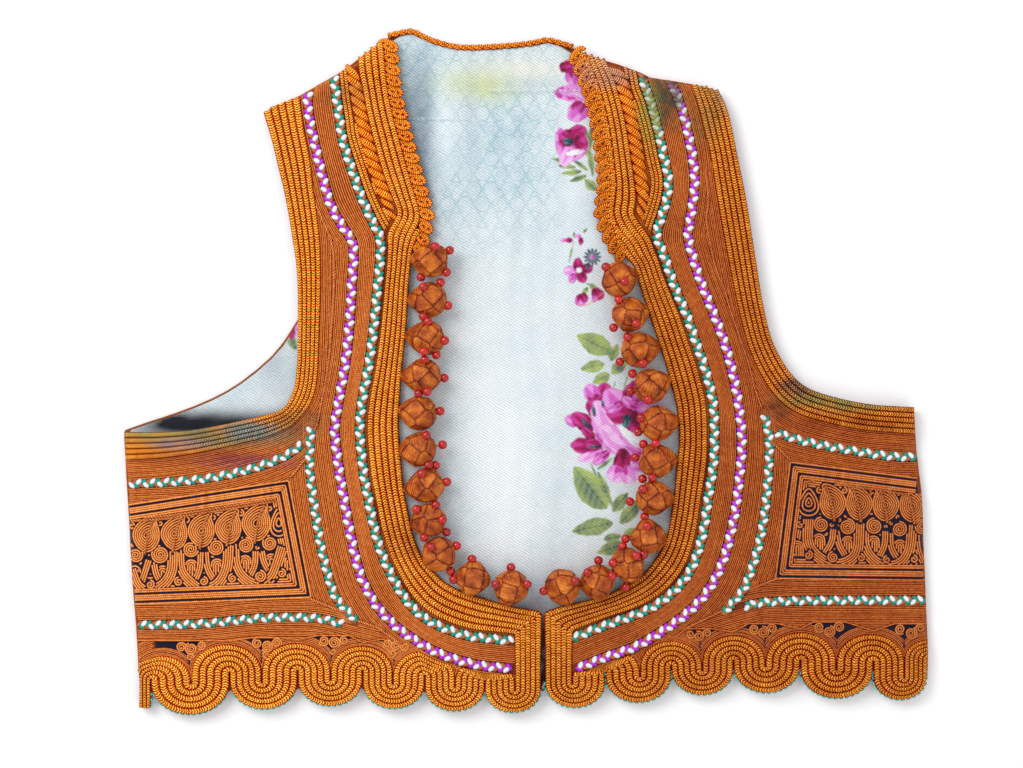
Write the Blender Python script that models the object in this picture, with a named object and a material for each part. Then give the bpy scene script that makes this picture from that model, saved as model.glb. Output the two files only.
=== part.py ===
"""Embroidered folk vest, laid flat with its two fronts up.

A short sleeveless vest of dark cloth. The back lies on the table with its lining up, and the two
fronts lie on the lining. The fronts carry cords: a band of five thick cords along the front edge
that goes on as the scalloped hem, another round each armhole, a looped edging at the neck,
three-strand braids, and an embroidered panel at each side. A row of knotted balls runs down each
front edge.

Frame: metres, +X towards the wearer's left, +Y towards the neck, +Z up from the table. "right" and
"left" are the wearer's own.
"""

import math

import bmesh
import bpy
import numpy as np
from mathutils import Vector
from mathutils.geometry import delaunay_2d_cdt

for old in list(bpy.data.objects):
    bpy.data.objects.remove(old, do_unlink=True)
vest = bpy.data.collections.new("embroidered_folk_vest")
bpy.context.scene.collection.children.link(vest)

# Driving sizes, in millimetres.
BACK_THICK = 2.0  # back cloth with its cords, pressed flat
LINING_THICK = 1.0
SEAM = 0.3  # gap between pieces
FRONT_THICK = 2.4  # front cloth with its fine cords
CORD_VALLEY, CORD_CREST = 0.9, 2.4  # thick cords above the cloth
CORDS = 5  # thick cords in a band
EDGE_INSET = 0.6  # the cords overhang the cloth by this much
BRAID_WIDE, BRAID_HIGH = 6.9, 2.2
ROPE_WIDE, ROPE_HIGH, ROPE_LOBE = 6.4, 2.2, 5.2
LOOP_DEEP, LOOP_HIGH, LOOP_PITCH = 7.4, 2.6, 6.6
FOLD_ROUND = 6.0  # how far in from a side or shoulder fold the cloth curls down
RIM_TOP = 3.4  # height of the cloth at that fold
KNOT_RADIUS, KNOT_SHANK = 9.3, 11.0
NECK_CORD = 1.5  # radius of the cord round the back of the neck
HEM_SQUASH = 0.8  # height of a hem curve over its half width
SLIT = 0.03  # gap left where two arms of the hem band lie side by side, in half widths

LINING_TOP = BACK_THICK + SEAM + LINING_THICK
FRONT_REST = LINING_TOP + SEAM + 0.2  # underside of the fronts
FRONT_TOP = FRONT_REST + FRONT_THICK

# Band of five cords down each front edge. Each row goes across it: a point on the outer edge, then
# a point on the middle of what lies beside it (the rope column at the neck, then the green braid).
RIGHT_FRONT_ROWS = (
    (-78.1, 181.5, -95.2, 170.5), (-77.0, 171.0, -95.7, 164.5), (-75.4, 154.6, -93.5, 153.5),
    (-72.6, 140.8, -90.8, 139.2), (-68.2, 124.3, -86.4, 121.6), (-64.4, 110.6, -82.5, 108.4),
    (-60.5, 96.8, -77.6, 95.2), (-57.8, 85.8, -74.8, 86.0), (-58.9, 76.5, -79.8, 75.4),
    (-62.2, 66.6, -79.8, 68.2), (-63.3, 58.3, -80.3, 58.3), (-64.4, 47.3, -81.4, 47.3),
    (-66.0, 22.6, -83.6, 23.7), (-68.2, 0.6, -86.4, 2.8), (-69.3, -16.0, -89.7, -14.9),
    (-69.9, -32.5, -91.3, -32.5), (-68.2, -54.5, -89.1, -56.7), (-67.1, -65.5, -86.9, -68.2),
    (-64.9, -76.5, -84.7, -79.8), (-62.7, -87.5, -82.0, -91.3), (-59.4, -97.4, -78.1, -102.9),
    (-55.6, -105.0, -73.2, -113.3), (-50.0, -111.0, -67.1, -123.8), (-44.6, -116.0, -58.9, -133.1),
    (-36.3, -120.5, -48.4, -139.7), (-25.3, -124.3, -33.0, -145.2), (-14.3, -127.6, -19.8, -146.9),
    (-6.0, -129.8, -9.9, -148.0),
)
LEFT_FRONT_ROWS = (
    (28.6, 176.6, 46.8, 169.4), (31.9, 168.3, 50.0, 164.5), (35.2, 160.0, 52.8, 159.0),
    (38.0, 151.8, 55.0, 151.3), (40.2, 143.6, 57.2, 143.0), (42.4, 132.6, 59.4, 132.0),
    (44.0, 121.6, 61.0, 121.0), (45.1, 110.6, 62.7, 110.6), (45.7, 102.3, 63.8, 102.3),
    (44.6, 94.1, 64.4, 94.0), (44.0, 86.9, 63.3, 86.4), (45.7, 79.8, 67.1, 79.8),
    (49.5, 72.0, 72.0, 73.2), (54.5, 63.8, 74.8, 66.0), (58.9, 58.3, 77.0, 60.0),
    (61.0, 52.8, 78.7, 54.5), (63.3, 44.6, 82.5, 44.0), (68.8, 28.0, 88.6, 29.7),
    (74.3, 11.6, 94.0, 13.8), (77.6, 0.6, 97.9, 2.8), (82.0, -16.0, 102.3, -14.3),
    (83.6, -27.0, 103.4, -27.0), (84.2, -38.0, 103.4, -39.0), (83.1, -49.0, 102.9, -51.2),
    (80.9, -71.0, 99.6, -72.6), (79.2, -82.0, 97.9, -84.7), (77.6, -90.2, 95.2, -96.3),
    (74.3, -98.5, 91.3, -107.3), (69.9, -105.0, 85.8, -116.0), (64.4, -111.7, 78.7, -123.2),
    (57.2, -116.6, 69.3, -129.8), (49.0, -121.0, 59.4, -134.2), (40.7, -124.3, 48.4, -138.0),
    (29.7, -127.0, 36.3, -142.5), (19.8, -129.3, 28.0, -145.8),
)
NECK_ROWS = {"right": 9, "left": 12}  # rows that lie beside the neck's looped edging
# The mitred corner at the bottom of the front edge: outer point, inner point.
CORNER = {"right": ((8.2, -132.5), (-6.0, -144.6)), "left": ((10.5, -132.5), (25.3, -144.6))}

# The hem band swings round these points in turn, from the side to the centre front. Cords go over
# the first of them, under the next, and so on.
RIGHT_HEM = (
    (-206.3, -169.4), (-184.0, -171.6), (-162.8, -165.6), (-145.2, -171.0), (-125.4, -164.5),
    (-107.3, -169.9), (-89.7, -164.5), (-73.2, -172.0), (-55.6, -167.2), (-39.0, -173.8),
    (-22.6, -170.0), (-6.0, -175.4),
)
LEFT_HEM = (
    (220.6, -158.0), (207.9, -168.8), (190.9, -159.5), (170.5, -164.0), (150.7, -159.0),
    (131.5, -162.3), (113.9, -159.0), (96.8, -164.5), (79.8, -161.7), (62.7, -167.8),
    (43.5, -165.6), (25.3, -171.8),
)
HEM_END = {"right": -6.6, "left": 0.0}  # half width of the first curve, cut short by the side fold
HEM_TAIL = -185.5  # how low the right hem's first arm reaches at the side

# Middle lines of the braids. Below the neck the green one runs beside the front edge band.
RIGHT_GREEN = (
    (-105.2, 160.2), (-104.0, 149.0), (-102.3, 138.0), (-100.7, 127.0), (-95.2, 109.5),
    (-90.2, 95.2), (-84.2, 82.0), (-80.6, 75.0), *(row[2:] for row in RIGHT_FRONT_ROWS[9:]),
)
LEFT_GREEN = (
    (64.4, 161.0), (65.5, 155.7), (68.2, 149.0), (72.6, 132.6), (75.4, 118.8), (78.1, 106.2),
    (77.5, 96.0), (74.8, 85.8), (72.2, 78.0), *(row[2:] for row in LEFT_FRONT_ROWS[12:]),
)
RIGHT_VIOLET = (
    (-119.6, 151.6), (-120.0, 147.0), (-118.8, 138.0), (-116.6, 127.0), (-112.0, 107.8),
    (-107.3, 91.3), (-99.6, 77.6), (-95.7, 72.0), (-94.6, 63.8), (-95.7, 47.3), (-96.8, 28.0),
    (-99.0, 6.0), (-102.3, -13.2), (-105.0, -29.7), (-104.5, -40.7), (-101.8, -60.0),
    (-95.7, -93.0), (-90.8, -112.2), (-86.4, -121.6), (-81.4, -129.8), (-74.8, -137.0),
    (-66.6, -144.1), (-49.0, -154.6), (-28.0, -161.2), (-11.0, -163.2),
)
LEFT_VIOLET = (
    (80.2, 157.6), (82.5, 152.5), (86.9, 139.7), (91.3, 118.8), (92.6, 102.3), (90.6, 85.8),
    (88.9, 75.0), (90.8, 65.5), (95.2, 51.2), (100.7, 37.4), (106.2, 23.7), (110.6, 10.5),
    (114.4, -5.0), (117.2, -21.5), (118.6, -40.7), (116.1, -68.2), (112.8, -87.5),
    (107.8, -105.0), (100.7, -119.4), (90.2, -131.5), (76.0, -142.2), (60.0, -151.5),
    (43.5, -157.3), (30.5, -162.4),
)

# Armhole band: a point on the edge, then the matching point on its inner border.
RIGHT_ARM_ROWS = (
    (-143.6, 140.0, -124.5, 150.2), (-139.7, 127.0, -121.9, 132.6), (-136.4, 113.3, -118.6, 116.0),
    (-133.1, 99.6, -117.0, 101.2), (-130.4, 85.8, -115.0, 87.5), (-128.2, 72.0, -113.3, 73.2),
    (-126.5, 61.0, -112.8, 61.0), (-125.4, 44.6, -112.8, 44.6), (-125.4, 11.6, -113.9, 11.6),
    (-126.0, 0.6, -114.4, -0.6), (-127.0, -7.7, -116.0, -11.4), (-129.3, -14.3, -119.0, -19.0),
    (-131.8, -18.9, -123.8, -25.2), (-136.4, -22.2, -129.8, -30.7), (-145.2, -24.8, -141.9, -36.0),
    (-157.3, -27.5, -155.7, -39.6), (-171.0, -30.3, -170.0, -42.9), (-184.8, -32.5, -184.3, -45.7),
    (-201.3, -33.6, -201.3, -47.9), (-220.6, -33.6, -220.4, -49.0),
)
LEFT_ARM_ROWS = (
    (106.9, 151.6, 91.9, 155.0), (110.6, 143.6, 95.6, 142.5), (113.3, 132.6, 98.3, 130.9),
    (115.5, 121.6, 101.1, 119.9), (121.0, 94.1, 105.6, 91.9), (125.4, 66.6, 110.6, 64.4),
    (129.3, 41.8, 115.5, 39.6), (131.5, 30.8, 118.3, 27.5), (134.2, 19.8, 121.6, 15.4),
    (137.5, 11.6, 125.4, 5.5), (141.4, 4.4, 129.8, -3.3), (145.6, -1.6, 134.8, -11.0),
    (150.7, -6.7, 141.4, -18.2), (157.3, -10.6, 150.7, -24.0), (167.2, -13.8, 163.9, -28.0),
    (178.2, -16.5, 176.0, -30.8), (192.0, -18.7, 190.3, -33.0), (213.0, -20.0, 213.6, -34.7),
)

# Outer lines of the whole garment.
RIGHT_SIDE = (
    (-221.4, -33.0), (-220.3, -54.5), (-218.6, -82.0), (-216.9, -115.0), (-214.8, -139.7),
    (-213.5, -161.7), (-212.0, -186.0),
)
LEFT_SIDE = (
    (213.6, -19.6), (215.0, -43.5), (217.8, -65.5), (219.0, -93.0), (220.2, -126.0),
    (221.4, -153.5), (221.2, -167.2), (219.7, -175.5),
)
RIGHT_SHOULDER = (
    (-144.4, 142.0), (-139.5, 145.6), (-124.3, 151.8), (-113.3, 158.2), (-103.4, 163.8),
    (-96.8, 168.4), (-85.8, 177.0), (-78.1, 182.5), (-69.6, 187.8),
)
LEFT_SHOULDER = (
    (20.0, 182.0), (27.0, 177.4), (35.2, 173.6), (43.5, 171.0), (50.6, 169.0), (62.7, 164.5),
    (68.2, 161.7), (81.9, 159.6), (98.5, 156.6), (107.8, 153.4),
)
BACK_NECK = (
    (-69.6, 187.8), (-62.0, 188.52), (-52.0, 183.8), (-36.3, 179.9), (-14.3, 180.4), (2.2, 182.0),
    (11.6, 183.8), (20.0, 182.0),
)
# The back's armhole shows inside the right front's, and is hidden on the other side.
BACK_RIGHT_ARM = (
    (-221.0, -32.5), (-206.8, -27.5), (-193.0, -23.0), (-173.8, -15.4), (-157.3, -6.0),
    (-140.8, 7.7), (-132.0, 18.7), (-125.4, 29.2), (-122.4, 39.0), (-121.5, 55.6),
    (-123.8, 72.0), (-128.7, 94.0), (-133.7, 116.0), (-139.7, 133.7), (-143.6, 141.0),
)

# Braids of the side panels, each from the middle of the front to the side fold or its far end.
SIDE_BRAIDS = {
    "right": {
        "upper": ((-124.2, -40.9), (-132.0, -46.4), (-146.3, -52.3), (-168.3, -57.8),
                  (-190.0, -60.6), (-220.2, -62.2)),
        "front": ((-118.4, -34.8), (-118.8, -46.2), (-118.6, -57.0), (-116.0, -76.0),
                  (-112.2, -98.0), (-106.2, -120.4), (-101.8, -127.6), (-96.8, -133.2)),
        "lower": ((-101.5, -138.6), (-112.0, -136.2), (-124.3, -135.3), (-146.3, -135.8),
                  (-179.3, -138.9), (-214.8, -139.7)),
    },
    "left": {
        "upper": ((138.6, -34.2), (146.0, -36.6), (157.3, -39.6), (178.2, -43.5), (200.2, -46.8),
                  (215.2, -47.3)),
        "front": ((131.8, -27.8), (133.7, -38.0), (133.1, -57.2), (130.9, -79.2), (127.0, -98.5),
                  (121.0, -116.6), (116.4, -124.0), (111.4, -129.6)),
        "lower": ((121.0, -129.2), (130.0, -127.2), (150.7, -126.2), (178.2, -126.0),
                  (205.0, -126.0), (220.2, -126.0)),
    },
}
# Embroidered side panels: corners, and the middles of the leaves and of the spirals below them.
PANELS = {
    "right": {
        "corners": ((-218.6, -77.5), (-174.0, -72.5), (-131.0, -66.5), (-124.5, -95.0),
                    (-119.5, -123.0), (-165.0, -124.6), (-215.8, -127.6)),
        "leaves": ((-208.5, -90.0), (-193.0, -88.5), (-178.2, -87.0), (-163.4, -86.0), (-148.0, -84.7)),
        "spirals": ((-200.8, -101.2), (-185.0, -98.0), (-170.0, -96.8), (-154.0, -96.2), (-141.0, -94.6)),
    },
    "left": {
        "corners": ((217.4, -62.0), (181.0, -54.6), (148.5, -53.5), (143.0, -80.0), (139.5, -110.0),
                    (180.0, -112.6), (219.0, -113.2)),
        "leaves": ((155.1, -73.2), (168.3, -73.2), (183.2, -73.7), (197.5, -74.3), (211.0, -74.3)),
        "spirals": ((161.7, -84.7), (176.5, -85.8), (192.0, -85.8), (205.7, -86.9)),
    },
}
LEAF_LONG, LEAF_WIDE, LEAF_HIGH = 16.0, 13.0, 1.0

RIGHT_KNOTS = (
    (-51.7, 60.5), (-52.8, 39.0), (-53.9, 18.2), (-56.1, -2.8), (-58.3, -23.1), (-58.8, -42.9),
    (-54.4, -62.7), (-53.1, -81.7), (-47.6, -100.3), (-29.2, -113.4), (-8.2, -118.3),
)
LEFT_KNOTS = (
    (50.6, 50.0), (56.6, 30.8), (61.6, 11.5), (68.2, -8.2), (72.0, -28.6), (71.0, -49.0),
    (69.8, -69.3), (66.6, -90.8), (55.6, -106.2), (39.0, -115.5), (19.8, -117.8),
)

# Soft swells of the cloth: middle, reach along X and Y, height.
FRONT_SWELLS = (
    (-182.0, -14.0, 44.0, 34.0, 2.8), (-100.0, 60.0, 28.0, 70.0, 1.6), (-92.0, -110.0, 34.0, 40.0, 2.0),
    (-150.0, -120.0, 40.0, 30.0, 1.2), (180.0, -4.0, 44.0, 34.0, 2.4), (92.0, 80.0, 28.0, 60.0, 1.6),
    (104.0, -90.0, 32.0, 50.0, 1.8), (170.0, -110.0, 40.0, 30.0, 1.2), (2.0, -165.0, 44.0, 32.0, 1.0),
)
LINING_SWELLS = (
    (-56.5, 150.0, 4.5, 30.0, 2.0), (-44.0, 120.0, 6.0, 30.0, 1.3), (-10.0, 60.0, 12.0, 60.0, 0.9),
    (14.0, -20.0, 10.0, 50.0, 0.8), (-16.0, -60.0, 9.0, 40.0, 1.0), (10.0, 150.0, 18.0, 10.0, 0.9),
)
FOLD_LINES = (0.0, 1.0, 2.8, 6.4)  # rows of points that carry the curl at a fold


# Curves on the table plane.

def smooth(points, step, closed=False):
    """A Catmull-Rom curve through the points, cut into pieces of about this length."""
    rows = np.asarray(points, float)
    count = len(rows)
    out = []
    for k in range(count if closed else count - 1):
        if closed:
            p0, p1, p2, p3 = (rows[(k + n) % count] for n in (-1, 0, 1, 2))
        else:
            p1, p2 = rows[k], rows[k + 1]
            p0 = rows[k - 1] if k else 2 * p1 - p2
            p3 = rows[k + 2] if k + 2 < count else 2 * p2 - p1
        length = max(np.linalg.norm((p2 - p1)[i:i + 2]) for i in range(0, len(p1), 2))
        parts = max(1, round(length / step))
        for n in range(parts):
            t = n / parts
            out.append(0.5 * (2 * p1 + (p2 - p0) * t + (2 * p0 - 5 * p1 + 4 * p2 - p3) * t * t
                              + (3 * p1 - p0 - 3 * p2 + p3) * t ** 3))
    if not closed:
        out.append(rows[-1])
    return np.array(out)


def respaced(points, step):
    """Points of a line at an even spacing near this step, its ends kept."""
    gaps = np.linalg.norm(np.diff(points, axis=0), axis=1)
    along = np.concatenate([[0], np.cumsum(gaps)])
    count = max(2, round(along[-1] / step) + 1)
    where = np.linspace(0, along[-1], count)
    return np.stack([np.interp(where, along, points[:, i]) for i in range(points.shape[1])], 1)


def normals(line):
    """Unit vectors to the left of the way the line runs."""
    way = np.gradient(line, axis=0)
    way /= np.linalg.norm(way, axis=1)[:, None]
    return np.stack([-way[:, 1], way[:, 0]], 1)


def shifted(line, by):
    return line + normals(line) * by


def crossing(a, b, c, d):
    """Where segment ab meets segment cd, as fractions of each, or None when they are parallel."""
    r, s = b - a, d - c
    area = r[0] * s[1] - r[1] * s[0]
    if abs(area) < 1e-9:
        return None
    gap = c - a
    return (gap[0] * s[1] - gap[1] * s[0]) / area, (gap[0] * r[1] - gap[1] * r[0]) / area


def run_on(line, by=9.0):
    """The line with both ends carried straight on."""
    line = np.array(line, float)
    first, last = line[0] - line[1], line[-1] - line[-2]
    return np.vstack([line[0] + first / np.linalg.norm(first) * by, line,
                      line[-1] + last / np.linalg.norm(last) * by])


def joined(lines):
    """A closed outline from lines that follow each other, each pair run on to where they cross."""
    lines = [run_on(line) for line in lines]
    for k in range(len(lines)):
        first, second = lines[k], lines[(k + 1) % len(lines)]
        found = None
        for i in range(len(first) - 2, max(-1, len(first) - 14), -1):
            for j in range(min(len(second) - 1, 12)):
                at = crossing(first[i], first[i + 1], second[j], second[j + 1])
                if at and 0 <= at[0] <= 1 and 0 <= at[1] <= 1:
                    found = (i, j, at[0])
                    break
            if found:
                break
        if found:
            i, j, t = found
            corner = first[i] + t * (first[i + 1] - first[i])
            first, second = np.vstack([first[:i + 1], corner]), np.vstack([corner, second[j + 1:]])
        else:
            first, second = first[:-1], second[1:]
        lines[k], lines[(k + 1) % len(lines)] = first, second
    outline = [lines[0][0]]
    for line in lines:
        for point in line:
            if np.linalg.norm(point - outline[-1]) > 0.4:
                outline.append(point)
    while np.linalg.norm(outline[0] - outline[-1]) < 0.4:
        outline.pop()
    return np.array(outline)


def to_line(points, line):
    """Distance of each point from a polyline."""
    points = np.atleast_2d(points)
    a, b = line[:-1], line[1:]
    way = b - a
    t = np.clip(((points[:, None] - a) * way).sum(2) / (way * way).sum(1), 0, 1)
    return np.linalg.norm(points[:, None] - (a + t[..., None] * way), axis=2).min(1)


def inside(points, outline):
    found = np.zeros(len(points), bool)
    for a, b in zip(outline, np.roll(outline, -1, 0)):
        over = (a[1] > points[:, 1]) != (b[1] > points[:, 1])
        at = (b[0] - a[0]) * (points[:, 1] - a[1]) / (b[1] - a[1] + 1e-12) + a[0]
        found ^= over & (points[:, 0] < at)
    return found


FOLDS = [smooth(line, 4) for line in (RIGHT_SIDE, RIGHT_SHOULDER, LEFT_SHOULDER, LEFT_SIDE)]


# Heights of the layers.

def swell(points, swells):
    total = np.zeros(len(points))
    for x, y, reach_x, reach_y, high in swells:
        total += high * np.exp(-((points[:, 0] - x) / reach_x) ** 2 - ((points[:, 1] - y) / reach_y) ** 2)
    return total


def fold_curl(points):
    """0 at a fold and 1 from FOLD_ROUND inwards, rising as a quarter round."""
    away = np.min([to_line(points, line) for line in FOLDS], axis=0)
    return np.sqrt(1 - (1 - np.clip(away / FOLD_ROUND, 0, 1)) ** 2)


def front_top(points):
    points = np.atleast_2d(points)
    high = FRONT_TOP + swell(points, FRONT_SWELLS)
    return RIM_TOP + (high - RIM_TOP) * fold_curl(points)


def front_under(points):
    points = np.atleast_2d(points)
    low = BACK_THICK + SEAM
    curl = fold_curl(points) ** 3
    return low + (FRONT_REST + swell(points, FRONT_SWELLS) - low) * curl


def lining_top(points):
    return LINING_TOP + swell(np.atleast_2d(points), LINING_SWELLS)


# Solids.

def new_object(name, points_mm, faces, material):
    mesh = bpy.data.meshes.new(name)
    mesh.from_pydata([tuple(p) for p in np.asarray(points_mm) / 1000], [], [tuple(f) for f in faces])
    work = bmesh.new()
    work.from_mesh(mesh)
    bmesh.ops.recalc_face_normals(work, faces=work.faces)
    work.to_mesh(mesh)
    work.free()
    mesh.materials.append(material)
    obj = bpy.data.objects.new(name, mesh)
    vest.objects.link(obj)
    return obj


def panel(name, outline, inner, top, under, material):
    """Cloth between two height functions, over an outline with extra points inside it."""
    count = len(outline)
    points = [Vector(p) for p in np.vstack([outline, inner])]
    found = delaunay_2d_cdt(points, [], [list(range(count))], 1, 1e-4)
    flat = np.array([tuple(v) for v in found[0]])
    faces = [tuple(face) for face in found[2]]
    edges = {}
    for face in faces:
        for a, b in zip(face, face[1:] + face[:1]):
            edges[(a, b)] = True
    rim = [(a, b) for a, b in edges if (b, a) not in edges]
    size = len(flat)
    over, below = top(flat), under(flat)
    solid = np.vstack([np.column_stack([flat, over]), np.column_stack([flat, below])])
    faces += [tuple(i + size for i in reversed(face)) for face in faces]
    faces += [(b, a, a + size, b + size) for a, b in rim]
    return new_object(name, solid, faces, material)


def plate(name, outline, top, under, material):
    """A flat sheet with plain faces."""
    size = len(outline)
    solid = np.vstack([np.column_stack([outline, np.full(size, top)]),
                       np.column_stack([outline, np.full(size, under)])])
    faces = [tuple(range(size)), tuple(range(2 * size - 1, size - 1, -1))]
    faces += [(k, k + size, (k + 1) % size + size, (k + 1) % size) for k in range(size)]
    return new_object(name, solid, faces, material)


def loft(name, rings, material, closed=False):
    """A closed skin over rings with the same number of points."""
    size, count = len(rings[0]), len(rings)
    faces = []
    for k in range(count if closed else count - 1):
        low, high = k * size, (k + 1) % count * size
        faces += [(low + i, low + (i + 1) % size, high + (i + 1) % size, high + i) for i in range(size)]
    if not closed:
        faces += [tuple(range(size)), tuple(range((count - 1) * size, count * size))]
    return new_object(name, np.vstack(rings), faces, material)


def marked_near_folds(outline, folds):
    """The outline with points added where it crosses the rows that carry the curl."""
    out = []
    for a, b in zip(outline, np.roll(outline, -1, 0)):
        out.append(a)
        spots = a + (b - a) * np.linspace(0.02, 0.98, 49)[:, None]
        away = np.min([to_line(spots, line) for line in folds], axis=0)
        added = []
        for level in FOLD_LINES[1:]:
            over = np.nonzero((away[:-1] < level) != (away[1:] < level))[0]
            added += list(over)
        for n in sorted(set(added)):
            if np.linalg.norm(spots[n] - out[-1]) > 0.7 and np.linalg.norm(spots[n] - b) > 0.7:
                out.append(spots[n])
    return np.array(out)


def grid_inside(outline, step, clear):
    """Points of a staggered grid inside an outline, kept this clear of its edge."""
    low, high = outline.min(0), outline.max(0)
    rows = np.arange(low[1], high[1], step * 0.87)
    points = np.array([(x + (n % 2) * step / 2, y) for n, y in enumerate(rows)
                       for x in np.arange(low[0], high[0], step)])
    points = points[inside(points, outline)]
    return points[to_line(points, np.vstack([outline, outline[:1]])) > clear]


def fold_points(outline, folds, step):
    """Points along lines set in from the folds, which carry the curl."""
    found = []
    for fold in folds:
        for inset in FOLD_LINES[1:]:
            for way in (1, -1):
                line = respaced(shifted(fold, way * inset), step)
                line = line[inside(line, outline)]
                clear = max(0.3, min(inset * 0.93 - 0.6, 2.2))
                keep = to_line(line, np.vstack([outline, outline[:1]])) > clear
                found.append(line[keep])
    return np.vstack(found)


VIOLET_LINES = {"right": smooth(RIGHT_VIOLET, 6), "left": smooth(LEFT_VIOLET, 6)}


# The cord bands.

def front_band_rows(side):
    """Rows across the front edge band, each an outer and an inner point."""
    rows = smooth(RIGHT_FRONT_ROWS if side == "right" else LEFT_FRONT_ROWS, 11)
    beside = BRAID_WIDE / 2 + 0.5
    across = rows[:, 2:] - rows[:, :2]
    wide = np.linalg.norm(across, axis=1)[:, None]
    inner = rows[:, 2:] - across / wide * beside
    return list(zip(rows[:, :2], inner))


def below_braid(point, side):
    """A point of the hem kept under the violet braid, which lies across its highest curves."""
    line = VIOLET_LINES[side]
    low = line[line[:, 1] < -120]
    order = np.argsort(low[:, 0])
    reach = low[order[0], 0], low[order[-1], 0]
    if not reach[0] - 6 < point[0] < reach[1] + 6:
        return point
    middle = np.interp(point[0], low[order, 0], low[order, 1])
    slope = abs(np.interp(point[0] + 4, low[order, 0], low[order, 1]) - middle) / 4
    limit = middle - (BRAID_WIDE / 2 + 0.6) * math.hypot(1, slope)
    return np.array((point[0], min(point[1], limit)))


def hem_rows(side, steps=5):
    """Rows across the hem band, from the side fold round every curve to the centre front."""
    turns = RIGHT_HEM if side == "right" else LEFT_HEM
    way = 1 if side == "right" else -1
    rows = []
    for k, (x, y) in enumerate(turns):
        over = k % 2 == 0
        before = abs(x - turns[k - 1][0]) if k else abs(HEM_END[side])
        after = abs(turns[k + 1][0] - x) if k + 1 < len(turns) else abs(CORNER[side][0][0] - x)
        first = 0 if k or side == "right" else steps // 2
        for n in range(first, steps + 1):
            turn = math.pi * n / steps
            reach = before + (after - before) * (0.5 - 0.5 * math.cos(turn))
            if not k and side == "left":
                reach = after
            place = []
            for d in (1 - SLIT, SLIT - 1):
                radius = reach * ((1 - d) if over else (1 + d)) / 2
                spot = np.array((x - way * radius * math.cos(turn),
                                 y + (1 if over else -1) * HEM_SQUASH * radius * math.sin(turn)))
                place.append(below_braid(spot, side))
            rows.append(tuple(place))
        if k == 0 and side == "right":
            rows.insert(0, tuple(np.array((p[0], HEM_TAIL)) for p in rows[0]))
    return rows


def side_of_fold(point, side):
    """A point kept just inside the side fold."""
    fold = FOLDS[0] if side == "right" else FOLDS[3]
    order = np.argsort(fold[:, 1])
    edge = np.interp(point[1], fold[order, 1], fold[order, 0])
    limit = edge + 0.5 if side == "right" else edge - 0.5
    return np.array((max(point[0], limit) if side == "right" else min(point[0], limit), point[1]))


def band_ring(outer, inner, cords=CORDS, valley=CORD_VALLEY, crest=CORD_CREST):
    """One row of a band: a ridge for each cord over a plain underside."""
    places = np.array([inner + (outer - inner) * j / (2 * cords) for j in range(2 * cords + 1)])
    base = front_top(places) + SEAM
    lift = np.array([crest if j % 2 else valley for j in range(2 * cords + 1)])
    lift[0] = lift[-1] = valley * 0.6
    upper = np.column_stack([places, base + lift])
    lift = 0.7 * (1 - fold_curl(places[[-1, cords, 0]]))
    lower = np.column_stack([places[[-1, cords, 0]], base[[-1, cords, 0]] + lift])
    return np.vstack([upper, lower])


def strip_ring(middle, across, half, high, base):
    """One row of a rounded strip: flat below, three points above."""
    ends = [middle - across * half, middle + across * half]
    shoulder = [middle + across * half * 0.72, middle, middle - across * half * 0.72]
    places = np.array(ends + shoulder)
    lift = np.array((0, 0, high * 0.8, high, high * 0.8))
    return np.column_stack([places, base(places) + SEAM + lift])


def strip(name, line, wide, high, material, base=front_top, wave=None):
    """A strip along a line; wave gives its width and height at each place along it."""
    across = normals(line)
    rings = []
    for k, (middle, side) in enumerate(zip(line, across)):
        scale = wave[k % len(wave)] if wave else 1
        rings.append(strip_ring(middle, side, wide / 2 * scale, high * scale, base))
    return loft(name, rings, material)


def with_fold_rows(line, at_start=False, at_end=False):
    """The line with rows added close to the folds it runs into, to follow the curl."""
    out = list(line)
    for is_end, wanted in ((False, at_start), (True, at_end)):
        if not wanted:
            continue
        end, inner = (out[-1], out[-2]) if is_end else (out[0], out[1])
        way = (inner - end) / np.linalg.norm(inner - end)
        extra = [end + way * d for d in FOLD_LINES[1:] if d < 0.8 * np.linalg.norm(inner - end)]
        if is_end:
            out = out[:-1] + extra[::-1] + [out[-1]]
        else:
            out = [out[0]] + extra + out[1:]
    return np.array(out)


def rows_near_fold(first, second):
    """Rows between two rows of a band, close to the first, to follow the curl at a fold."""
    length = np.linalg.norm(second[0] - first[0])
    return [tuple(a + (b - a) * d / length for a, b in zip(first, second))
            for d in FOLD_LINES[1:] if d < 0.8 * length]


# Materials.

def cloth_material(name, colour, rough=0.85, metal=0.0):
    material = bpy.data.materials.new(name)
    material.use_nodes = True
    shader = material.node_tree.nodes["Principled BSDF"]
    shader.inputs["Base Color"].default_value = (*colour, 1)
    shader.inputs["Roughness"].default_value = rough
    shader.inputs["Metallic"].default_value = metal
    material.diffuse_color = (*colour, 1)
    return material


GOLD = cloth_material("gold_cord", (0.60, 0.25, 0.05), 0.55)
MATTE = cloth_material("copper_cord", (0.42, 0.15, 0.04))
GREEN = cloth_material("green_braid", (0.12, 0.42, 0.33), 0.6)
VIOLET = cloth_material("violet_braid", (0.48, 0.12, 0.52), 0.6)
NAVY = cloth_material("embroidery", (0.30, 0.12, 0.05))
PRINT = cloth_material("lining_print", (0.70, 0.79, 0.81))
BACK = cloth_material("back_cloth", (0.30, 0.13, 0.05))
KNOT = cloth_material("knot_cord", (0.38, 0.14, 0.04), 0.6)
METAL = cloth_material("hook_metal", (0.10, 0.10, 0.12), 0.4, 1.0)


# Outlines.

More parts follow.
